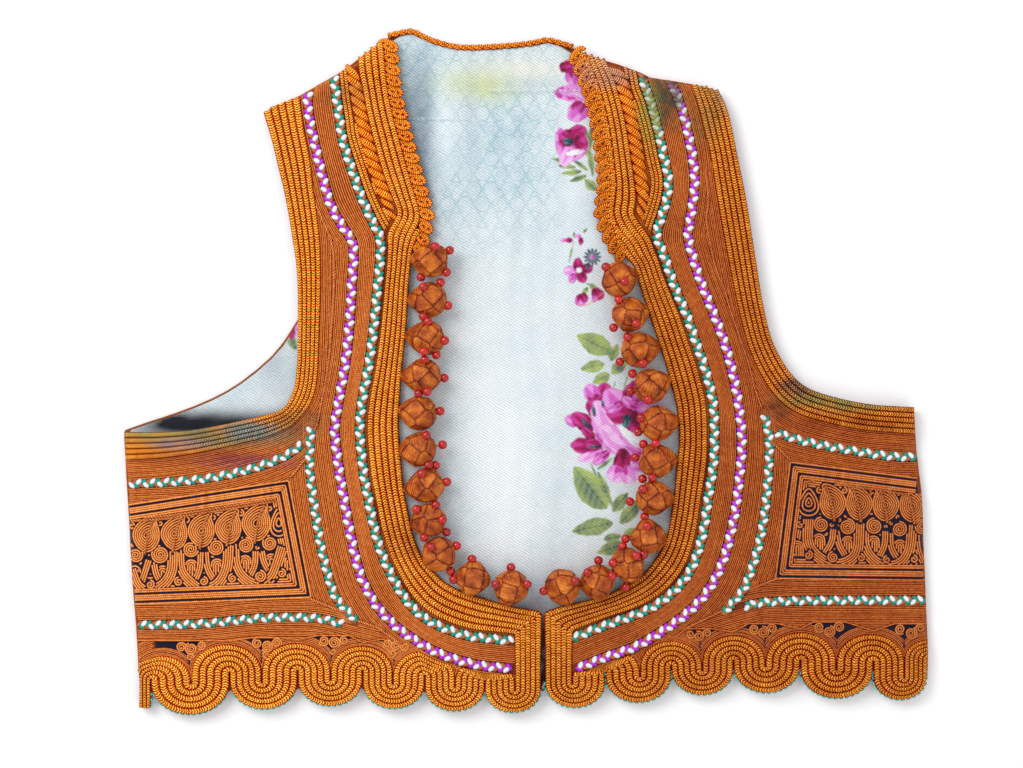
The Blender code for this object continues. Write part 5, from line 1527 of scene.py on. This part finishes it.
# Embroidered side panels. Places are pixels of the photograph, and sizes are pixels too.
PANEL_LIFT = 0.4
LEAF_SHAPE = np.array((
    (-0.02, 1.0), (-0.62, 0.72), (-0.98, 0.12), (-0.82, -0.42), (-0.3, -0.86), (0.35, -1.1),
    (0.72, -1.06), (0.68, -0.72), (0.86, -0.25), (0.84, 0.35), (0.5, 0.82),
))
LEAF_STEM = np.array(((-0.15, -1.3), (-0.02, -0.4), (0.2, 0.5), (0.5, 1.25)))
MOTIFS = {
    "right": {
        "leaves": ((147, 535.5, 13.4), (175, 534, 13), (202, 531, 13), (229, 528, 13), (257, 523.5, 14)),
        "spirals": (
            (136, 555, 8), (160.5, 554.5, 9.5), (191, 549, 8.8), (216.5, 547, 8.8), (246, 545, 8.2),
            (270, 543, 8), (150.5, 584.5, 5), (179, 581.5, 5), (204, 581, 5), (233, 578, 5),
            (260.5, 576, 6.5), (275, 584, 4), (131.5, 526, 4.2), (160.5, 523, 4), (186.5, 520, 4),
            (213.5, 517, 4.2), (241, 513, 4.2), (270, 508, 4.2), (282, 573, 5),
        ),
        "pins": (
            (135, 566, 582), (163, 566, 582), (191.5, 560, 576), (217.5, 559, 576), (245.5, 555.5, 572),
            (271.5, 554, 566), (289, 555, 570),
        ),
        "bands": (
            ((173, 550), (172, 570), (165, 583), (150, 591.5), (138, 586), (131, 570)),
            ((179, 550), (181, 570), (190, 582), (202, 589), (218, 584), (227, 568), (229, 545)),
            ((234, 544), (236, 565), (244, 578), (259, 585), (272, 577), (278, 563), (283, 547)),
        ),
        "arms": (
            ((149, 560), (145, 573), (141, 585)), ((154, 562), (157, 575), (164, 585)),
            ((201, 552), (200, 568), (195, 581)), ((206, 552), (208, 568), (215, 581)),
            ((256, 551), (255, 565), (250, 576)), ((262, 551), (265, 563), (272, 574)),
        ),
        "rope": ((125, 519.5), (162, 517), (184, 514), (222, 508), (252, 503), (283, 498)),
        "drop": (279, 522, 7.5, 14),
    },
    "left": {
        "leaves": ((832, 503, 13), (858.5, 504, 13), (885, 505, 13), (912, 506, 13)),
        "spirals": (
            (821, 524.5, 8), (847, 526.5, 8.5), (874, 526, 8.5), (899, 529, 8), (922, 527, 8),
            (808, 555, 5), (832.5, 557, 6), (860.5, 557.5, 4.5), (886.5, 559.5, 4.5), (913.5, 559, 4.5),
            (819.5, 490.5, 4), (844, 490.5, 4), (871.5, 494.5, 4.5), (899.5, 497.5, 4.2), (800, 525, 4),
        ),
        "pins": (
            (818.5, 534, 552), (847.5, 536.5, 555), (873, 536, 553), (899.5, 540, 555), (797, 541, 556),
        ),
        "bands": (
            ((808, 519), (808, 543), (818, 557), (833, 564), (848, 561), (857, 550), (859, 523)),
            ((864, 523), (864, 545), (872, 559), (885, 566), (900, 563), (909, 550), (912, 525)),
        ),
        "arms": (
            ((833, 529), (831, 542), (824, 554)), ((836, 531), (839, 545), (845, 556)),
            ((885, 531), (884, 545), (878, 558)), ((890, 533), (891, 547), (897, 559)),
            ((916, 530), (918, 550), (923, 563)),
        ),
        "rope": ((804, 480), (823, 479), (854, 485), (880, 488), (904, 492), (922, 490)),
        "drop": (808.5, 502, 9, 13.5),
    },
}


def curl_line(centre, radius, turn=0.0, pitch=INLAY_PITCH, way=1, hole=0.36):
    """An inward spiral."""
    turns = max(0.9, (radius - hole) / pitch)
    angle = np.linspace(0, TAU * turns, int(24 * turns))
    reach = np.maximum(radius - pitch * angle / TAU, 0.2)
    angle = turn + way * angle
    return centre + reach[:, None] * np.stack([np.cos(angle), np.sin(angle)], 1)


def lay_line(skein, line, half=0.62, high=0.95, lift=PANEL_LIFT, step=0.8):
    lay(skein, with_size(respaced(line, step), half, high, lift), RIDGE, step)


for side in SIDES:
    sign = SIGN[side]
    marks = np.array(PARTINGS[side]["panel"], float)
    border = respaced(as_loop(marks), 3.0)[:-1]
    border = np.array([side_of_fold(point, side) for point in border])
    cloth(side + "_panel_ground", border, spread(border, box_of(border), 3.0, 1.0),
          lambda p: front_top(p) + PANEL_LIFT, lambda p: front_top(p) + 0.05, navy,
          (side + "_side_embroidery",))
    skein, edge_skein, vein_skein = Skein(), Skein(), Skein()
    for k, off in enumerate((0.0, 2.3, 3.4, 4.5, 6.7, 7.8)):
        line = respaced(inset(marks, -sign * off), 0.8)
        lay_line(edge_skein if k < 4 else skein, line[on_front(line, side, -0.2)])
    heart = inset(marks, -sign * 8.3)
    heart = np.vstack([heart, heart[-1] - (20 * sign, 0), heart[0] - (20 * sign, 0)])
    taken = []  # where work lies already: later lines stop there

    def motif(line, half=0.58, high=0.95, lift=PANEL_LIFT, keeps=True, clear=0.95, target=skein):
        line = respaced(line, 0.7)
        keep = inside(line, heart) & on_front(line, side, -0.3)
        if keeps and taken:
            done = np.vstack(taken)
            keep &= np.array([np.hypot(*(done - p).T).min() > clear for p in line])
        for run in runs_of(keep):
            lay_line(target, line[run], half, high, lift, 0.7)
            found.append(line[run])

    table = MOTIFS[side]
    found = []
    for x, y, wide in table["leaves"]:
        centre, size = from_photo(x, y), wide * 0.6
        shape = LEAF_SHAPE * (size * sign, -size * 1.2) + (0, 0.5)
        rings = int(size / INLAY_PITCH)
        for ring in range(rings):
            scale = 1 - (ring + 0.3) * INLAY_PITCH / size
            outline = smooth(centre + shape * scale, 1.0, closed=True)
            motif(as_loop(outline), high=0.9 + 0.12 * ring, keeps=False)
        stem = smooth(centre + LEAF_STEM * (size * sign, size), 1.0)
        motif(stem, 0.95, 2.5, keeps=False, target=vein_skein)
    x, y, wide, high = table["drop"]
    turn = np.linspace(0, TAU, 24)
    for scale in (1.0, 0.66, 0.32):
        drop = np.column_stack([np.cos(turn) * (1 - 0.45 * np.sin(turn)), np.sin(turn)])
        drop = drop * (wide * PHOTO_SCALE * scale, high * PHOTO_SCALE * scale)
        motif(from_photo(x, y) + drop, keeps=False)
    taken = list(found)
    for k, (x, y, radius) in enumerate(table["spirals"]):
        way = sign * (1 if k % 2 else -1)
        coil = curl_line(from_photo(x, y), radius * PHOTO_SCALE - 0.3, math.pi / 2, INLAY_PITCH, way)
        motif(coil, clear=0.8)
    taken = list(found)
    for group, offs in (("bands", (0.0, 1.22, -1.22, 2.44, -2.44)), ("arms", (0.0, 1.22, -1.22))):
        for path in table[group]:
            line = smooth([from_photo(*place) for place in path], 1.0)
            for off in offs:
                motif(shifted(line, off), clear=1.0)
                taken = list(found)
    for x, top, foot in table["pins"]:
        (x, top), (_, foot) = from_photo(x, top), from_photo(x, foot)
        for wide in (0.7, 1.9, 3.1):
            turn = np.linspace(0, math.pi, 12)
            arch = np.column_stack([x + wide * np.cos(turn), top - 3.1 + wide * np.sin(turn)])
            motif(np.vstack([(x + wide, foot), arch, (x - wide, foot)]), clear=0.85)
    taken = list(found)
    # Whatever is left inside fills with rows that follow the border.
    for off in np.arange(9.2, 15.0, INLAY_PITCH):
        motif(inset(marks, -sign * off), clear=1.1)
    line = smooth([from_photo(*place) for place in table["rope"]], 1.0)
    for off in (-1.0, 0.35):
        motif(shifted(line, off), 0.9, 1.9, 0.5, keeps=False, target=vein_skein)
    # Small coils fill the holes, the widest hole first.
    room = spread(border, box_of(border), 0.8, 1.0)
    room = room[inside(room, heart) & on_front(room, side, -1.0)]
    done = np.vstack(found)
    free = np.concatenate([np.sqrt(((room[k:k + 400, None] - done) ** 2).sum(2)).min(1)
                           for k in range(0, len(room), 400)])
    for k in range(150):
        at = room[free.argmax()]
        reach = free.max() - 1.05
        if reach < 0.6:
            break
        lay_line(skein, curl_line(at, reach, 2.0 * k, INLAY_PITCH, 1 if k % 2 else -1))
        free = np.minimum(free, norm(room - at, axis=1) - reach)
    vein_skein.piece(side + "_panel_veins", rope_stitch, "embroidery", side + "_side_embroidery")
    skein.piece(side + "_panel_stitching", inlay, "embroidery", side + "_side_embroidery")
    edge_skein.piece(side + "_panel_border_cords", inlay, "embroidery", side + "_side_embroidery")


# Looped edging, neck ropes and the cord round the back of the neck.
LOOP_STEP, LOOP_WIRE = 6.3, 1.35
LOOP_OUT = {"right": 2.7, "left": 2.0}

for side in SIDES:
    sign = SIGN[side]
    edge = smooth(np.array(EDGE[side])[:NECK_ROWS[side] + (1 if side == "right" else 2), :2], 3)
    edge = respaced(run_on(edge, 3.5)[:-1], 0.5)
    along = length_along(edge)
    places = np.arange(7.0, along[-1], LOOP_STEP)
    spots = np.stack([np.interp(places, along, edge[:, k]) for k in (0, 1)], 1)
    beside = normals(edge)
    out = np.stack([np.interp(places, along, beside[:, k]) for k in (0, 1)], 1) * sign
    skein = Skein()
    for k, (at, way) in enumerate(zip(spots, out)):
        # Each loop coils flat, rises to the rim that shows, and lies over the one before it.
        size = 1.0 if k < len(spots) - 1 else 0.85
        down = np.array((way[1], -way[0])) * sign
        centre = at + way * LOOP_OUT[side]
        angle = np.linspace(0, math.radians(660), 60)
        reach = 1 - 0.9 * (angle / angle[-1])
        turn = math.radians(190) - angle
        x, y = reach * np.cos(turn) * 5.1 * size, reach * np.sin(turn) * 3.3 * size
        y = y - 0.42 * x  # the loops lean down to the side
        flat = centre + x[:, None] * way - y[:, None] * down
        base = float(front_top(at[None])[0])
        z = base + 0.9 - 0.3 * y * sign + 0.5 * angle / angle[-1]
        radii = LOOP_WIRE * (1.06 - 0.45 * angle / angle[-1])
        radii[0] = radii[-1] = LOOP_WIRE * 0.4
        tube(skein, np.column_stack([flat, z]), radii, 8, 23.0 * k)
    skein.piece(side + "_neck_loop_edging", loop_gold, "gold_cord", side + "_neck_loops")

    # Plump slanted lobes of a flat rope, their tips bent along it and tucked under the next.
    line = smooth(np.array(EDGE[side])[:NECK_ROWS[side] - 1, 2:], 3)
    line = respaced(shifted(run_on(line, 5.0)[:-1], 0.3 * sign), 5.7)
    beside, skein = normals(line), Skein()
    cos, sin = math.cos(math.radians(38)), math.sin(math.radians(38))
    t = np.linspace(-1, 1, 13)
    for k, (at, left) in enumerate(zip(line, beside)):
        if not on_front(at[None], side, -2.5)[0]:
            continue
        way = np.array((left[1], -left[0]))
        axis = np.array((way[0] * cos - way[1] * sin, way[0] * sin + way[1] * cos))
        size = 1.0 if k < len(line) - 2 else 0.75
        flat = at + axis * (t[:, None] * 5.0 * size) + way * (1.6 * t[:, None] ** 3 - 0.6 * t[:, None])
        z = front_top(flat) + 0.35 + 1.1 * (1 - t ** 2)
        radii = 2.5 * size * np.sqrt(np.maximum(1 - t ** 2, 0.03)) ** 0.8
        tube(skein, np.column_stack([flat, z]), radii, 8, 11.0 * k, 0.75)
    skein.piece(side + "_neck_rope_lobes", loop_gold, "gold_cord", side + "_neck_rope")

neck_line = respaced(run_on(shifted(smooth(BACK_NECK, 2), -NECK_CORD)[1:-1], 8.5), 0.7)
skein = Skein()
along, beside = length_along(neck_line), normals(neck_line)
for k in range(2):
    turn = TAU * along / 8.0 + math.pi * k
    flat = neck_line + beside * (0.75 * np.cos(turn))[:, None]
    z = BACK_THICK + SEAM + NECK_CORD + 0.7 * np.sin(turn)
    tube(skein, np.column_stack([flat, z]), 0.92, 8, 17.0 * k)
skein.piece("back_neck_twisted_cord", loop_gold, "gold_cord", "back_neck_cord")


# Small work on the hem: spirals in the notches and teal stitches along the edge.
for side in SIDES:
    skein = Skein()
    for k, (x, y, radius) in enumerate(NOTCHES[side]):
        coil = curl_line(from_photo(x, y), radius * 0.6, 2.0 * k, 1.12, SIGN[side], 0.5)
        lay_line(skein, coil, 0.6, 1.3, 0.3)
    skein.piece(side + "_hem_notch_spirals", inlay, "copper_cord", side + "_front_cloth")
    line = respaced(HEM[side][0], 1.6)
    line = line[line[:, 1] < (-176.5 if side == "right" else -164.0)][1::2]
    beside = normals(line)
    way = np.stack([beside[:, 1], -beside[:, 0]], 1)
    out = beside * -SIGN[side] if side == "left" else -beside
    skein = Skein()
    blobs(skein, line - way * 1.0 + out * 0.3, line + way * 1.1 + out * 0.5, 0.6, 1.0, -0.4)
    skein.piece(side + "_hem_teal_stitches", hem_teal, "green_braid", side + "_edge_and_hem_cords")


# Knotted balls: thread wound in flat faces, their creases pressed in, drawn out to the front edge.

def ball_mesh(times):
    """Directions of a subdivided icosahedron and its faces."""
    work = bmesh.new()
    bmesh.ops.create_icosphere(work, subdivisions=times, radius=1)
    points = np.array([tuple(v.co) for v in work.verts])
    faces = np.array([[v.index for v in face.verts] for face in work.faces])
    work.free()
    return points, faces


BALL, BALL_FACES = ball_mesh(5)


def turned(draw):
    """A random rotation."""
    q, r = np.linalg.qr(draw.normal(size=(3, 3)))
    q = q * np.sign(np.diag(r))
    return q if np.linalg.det(q) > 0 else -q


def knot(side, number, x, y, edge, draw):
    """A ball wound in flat faces with creases between them, drawn out to the front edge."""
    way = edge[norm(edge - (x, y), axis=1).argmin()] - (x, y)
    reach = norm(way)
    way /= reach
    # Six square faces and eight between them, each with threads of its own way.
    axes = turned(draw) + draw.uniform(-0.1, 0.1, (3, 3))
    signs = np.array([(a, b, c) for a in (-1, 1) for b in (-1, 1) for c in (-1, 1)])
    aims = np.vstack([axes, -axes, signs @ axes])
    aims /= norm(aims, axis=1)[:, None]
    cuts = np.concatenate([np.full(6, 0.9), np.full(8, 0.94)]) * draw.uniform(0.97, 1.03, 14)
    score = (BALL @ aims.T) / cuts
    order, best = np.sort(score, axis=1), score.argmax(1)
    gap = order[:, -1] - order[:, -2]
    edge_shade = np.clip(gap / 0.075, 0, 1) ** 0.7
    size = np.minimum(1.02, 1 / order[:, -1]) - 0.035 * (1 - edge_shade)
    # The crease value: 0 in a crease, near 1 on a face, each face at its own brightness. The knot look
    # darkens the colour by it, as painted shade in the creases.
    crease = 0.25 + 0.75 * edge_shade * (0.86 + 0.14 * np.sin(best * 2.4))
    ways = np.cross(aims, draw.normal(size=(14, 3)))
    ways /= norm(ways, axis=1)[:, None]
    thread = (BALL * ways[best]).sum(1) * KNOT_RADIUS + 20 * best
    points = BALL * size[:, None] * KNOT_RADIUS * 1.03
    points[:, 2] *= 0.95
    # The ball is drawn out into its shank towards the front edge.
    aim = np.array((way[0], way[1], -0.4))
    tip = norm(aim) * min(reach + 0.8, KNOT_SHANK + 5.0)
    aim /= norm(aim)
    toward = BALL @ aim
    pull = np.clip((toward - 0.3) / 0.7, 0, 1) ** 1.4
    ahead = points @ aim
    points += (points @ -np.eye(3) + ahead[:, None] * aim) * (0.62 * pull)[:, None]
    points += aim * ((tip - ahead) * pull * 0.9)[:, None]
    floor = float(lining_top(np.array([(x, y)]))[0]) + SEAM
    points[:, 2] += floor - points[:, 2].min()
    points[:, :2] += (x, y)
    # Round the shank the threads lie across.
    shank = toward > 0.8
    thread = np.where(shank, toward * KNOT_RADIUS * 1.6, thread)
    runs = np.column_stack([thread, np.where(shank, np.maximum(crease, 0.7), crease)])
    piece(f"{side}_knotted_ball_{number}", points, BALL_FACES, knot_thread,
          (f"{side}_knot_{number}",), runs)
    return np.array((x, y, floor + KNOT_RADIUS * 0.97))


centres = []
for side in SIDES:
    edge = smooth(EDGE[side], 3)[:, :2]
    for number, (x, y) in enumerate(KNOTS[side], 1):
        centres.append(knot(side, number, x, y, edge, rng))
centres = np.array(centres)

# Coral beads sewn on the balls: pixels of the photograph.
BEADS = {
    "right": (
        (436, 248), (450, 251), (447, 273), (421.5, 277.6), (441, 283), (424.4, 288), (448.4, 306),
        (424, 317), (428.7, 322), (445.4, 341), (424.7, 351.7), (436.8, 355), (425.5, 360), (444.7, 378),
        (419.4, 393.5), (428, 391.5), (440.6, 411), (427.3, 435), (443, 444.5), (428.9, 464.5), (436, 465),
        (422.7, 472.7), (447.3, 481.4), (436.6, 503.8), (417.3, 508.2), (443.2, 518.2), (446.8, 531.4),
        (425, 536.4), (432, 545.4), (457, 544.8), (451.3, 570.4), (454, 578.4), (472.3, 558), (511, 566.4),
        (527, 582.3), (496, 582.3),
    ),
    "left": (
        (605, 268), (623, 283), (618, 300.5), (634.8, 324.3), (613, 328), (626.5, 337.3), (619.3, 362),
        (641.6, 363.8), (631.7, 373.8), (630, 391), (646.6, 399.8), (640, 417.7), (637.5, 431.8),
        (642.8, 444), (654.4, 443), (634.4, 457), (651.2, 477), (641.8, 478.4), (641.4, 488), (629.3, 501),
        (644, 516), (645.5, 524.5), (625, 538), (642.7, 553), (622, 545.4), (634.6, 553.8), (612, 561),
        (611, 574), (598, 559.6), (587, 570.4), (625, 586), (574.6, 579), (543.6, 589.6),
    ),
}
BEAD, BEAD_FACES = ball_mesh(4)
for side in SIDES:
    beads, threads = Skein(), Skein()
    for spot in BEADS[side]:
        at = from_photo(*spot)
        away = norm(centres[:, :2] - at, axis=1)
        centre = centres[away.argmin()]
        shell = KNOT_RADIUS + BEAD_RADIUS * 0.55
        lift = math.sqrt(max(shell ** 2 - away.min() ** 2, 0.0))
        z = max(centre[2] + lift, float(lining_top(at[None])[0]) + BEAD_RADIUS + 0.4)
        beads.loose(BEAD * BEAD_RADIUS * (1, 1, 0.95) + (*at, z), BEAD_FACES, np.zeros((len(BEAD), 2)))
        # A short thread ties each bead down.
        toward = (centre[:2] - at) / max(away.min(), 0.1)
        if away.min() > 1.5:
            start = np.array((*(at + toward * BEAD_RADIUS * 0.55), z + BEAD_RADIUS * 0.35))
            drop = (KNOT_RADIUS * 0.95) ** 2 - (away.min() - BEAD_RADIUS - 2.2) ** 2
            end = np.array((*(at + toward * (BEAD_RADIUS + 2.2)), centre[2] + math.sqrt(max(drop, 1.0))))
            t = np.linspace(0, 1, 7)[:, None]
            path = start * (1 - t) + end * t + np.array((0, 0, 0.5)) * np.sin(math.pi * t)
            tube(threads, path, 0.42, 6)
    beads.piece(side + "_coral_beads", bead_red, "knot_cord")
    threads.piece(side + "_bead_threads", orange, "knot_cord")

# Hook and eye at the foot of the opening, shown as one flat ring of wire.
HOOK_X, HOOK_Y, HOOK_WIRE = 9.4, -172.0, 0.45
turn = np.linspace(0, TAU, 33)
skein = Skein()
x, y = HOOK_X + 1.38 * np.cos(turn), HOOK_Y + 3.6 * np.sin(turn)
tube(skein, np.column_stack([x, y, np.full(len(turn), LINING_TOP + 2.2)]), HOOK_WIRE, 8)
skein.piece("front_hook_and_eye", hook_wire, "hook_metal", "front_hook")

# Floor, light and camera.

def floor():
    size = 3.0
    mesh = bpy.data.meshes.new("floor")
    corners = [(-size, -size, 0), (size, -size, 0), (size, size, 0), (-size, size, 0)]
    mesh.from_pydata(corners, [], [(0, 1, 2, 3)])
    mesh.materials.append(floor_look())
    obj = bpy.data.objects.new("floor", mesh)
    bpy.context.scene.collection.objects.link(obj)
    obj.location.z = -0.0003


floor()

LENS, SENSOR = 85.0, 36.0
view_wide = PHOTO_SIZE[0] * PHOTO_SCALE / 1000
camera_data = bpy.data.cameras.new("camera")
camera_data.lens, camera_data.sensor_width = LENS, SENSOR
camera = bpy.data.objects.new("camera", camera_data)
bpy.context.scene.collection.objects.link(camera)
camera.location = ((PHOTO_SIZE[0] / 2 - PHOTO_MIDDLE[0]) * PHOTO_SCALE / 1000,
                   (PHOTO_MIDDLE[1] - PHOTO_SIZE[1] / 2) * PHOTO_SCALE / 1000,
                   view_wide * LENS / SENSOR + 0.006)
bpy.context.scene.camera = camera


def area_light(name, place, aim, size, watts, colour=(1, 1, 1)):
    data = bpy.data.lights.new(name, "AREA")
    data.energy, data.size, data.color = watts, size, colour
    obj = bpy.data.objects.new(name, data)
    obj.location = place
    obj.rotation_euler = (Vector(aim) - Vector(place)).to_track_quat("-Z", "Y").to_euler()
    bpy.context.scene.collection.objects.link(obj)


area_light("key", (-0.8, 0.7, 1.15), (-0.1, 0, 0), 0.9, 14.0)
area_light("fill", (0.9, -0.6, 1.2), (0, 0, 0), 1.6, 5.0)
world = bpy.data.worlds.new("studio")
world.use_nodes = True
world.node_tree.nodes["Background"].inputs["Color"].default_value = (1.0, 1.0, 1.0, 1)
world.node_tree.nodes["Background"].inputs["Strength"].default_value = 0.745
bpy.context.scene.world = world
bpy.context.scene.view_settings.view_transform = "Standard"
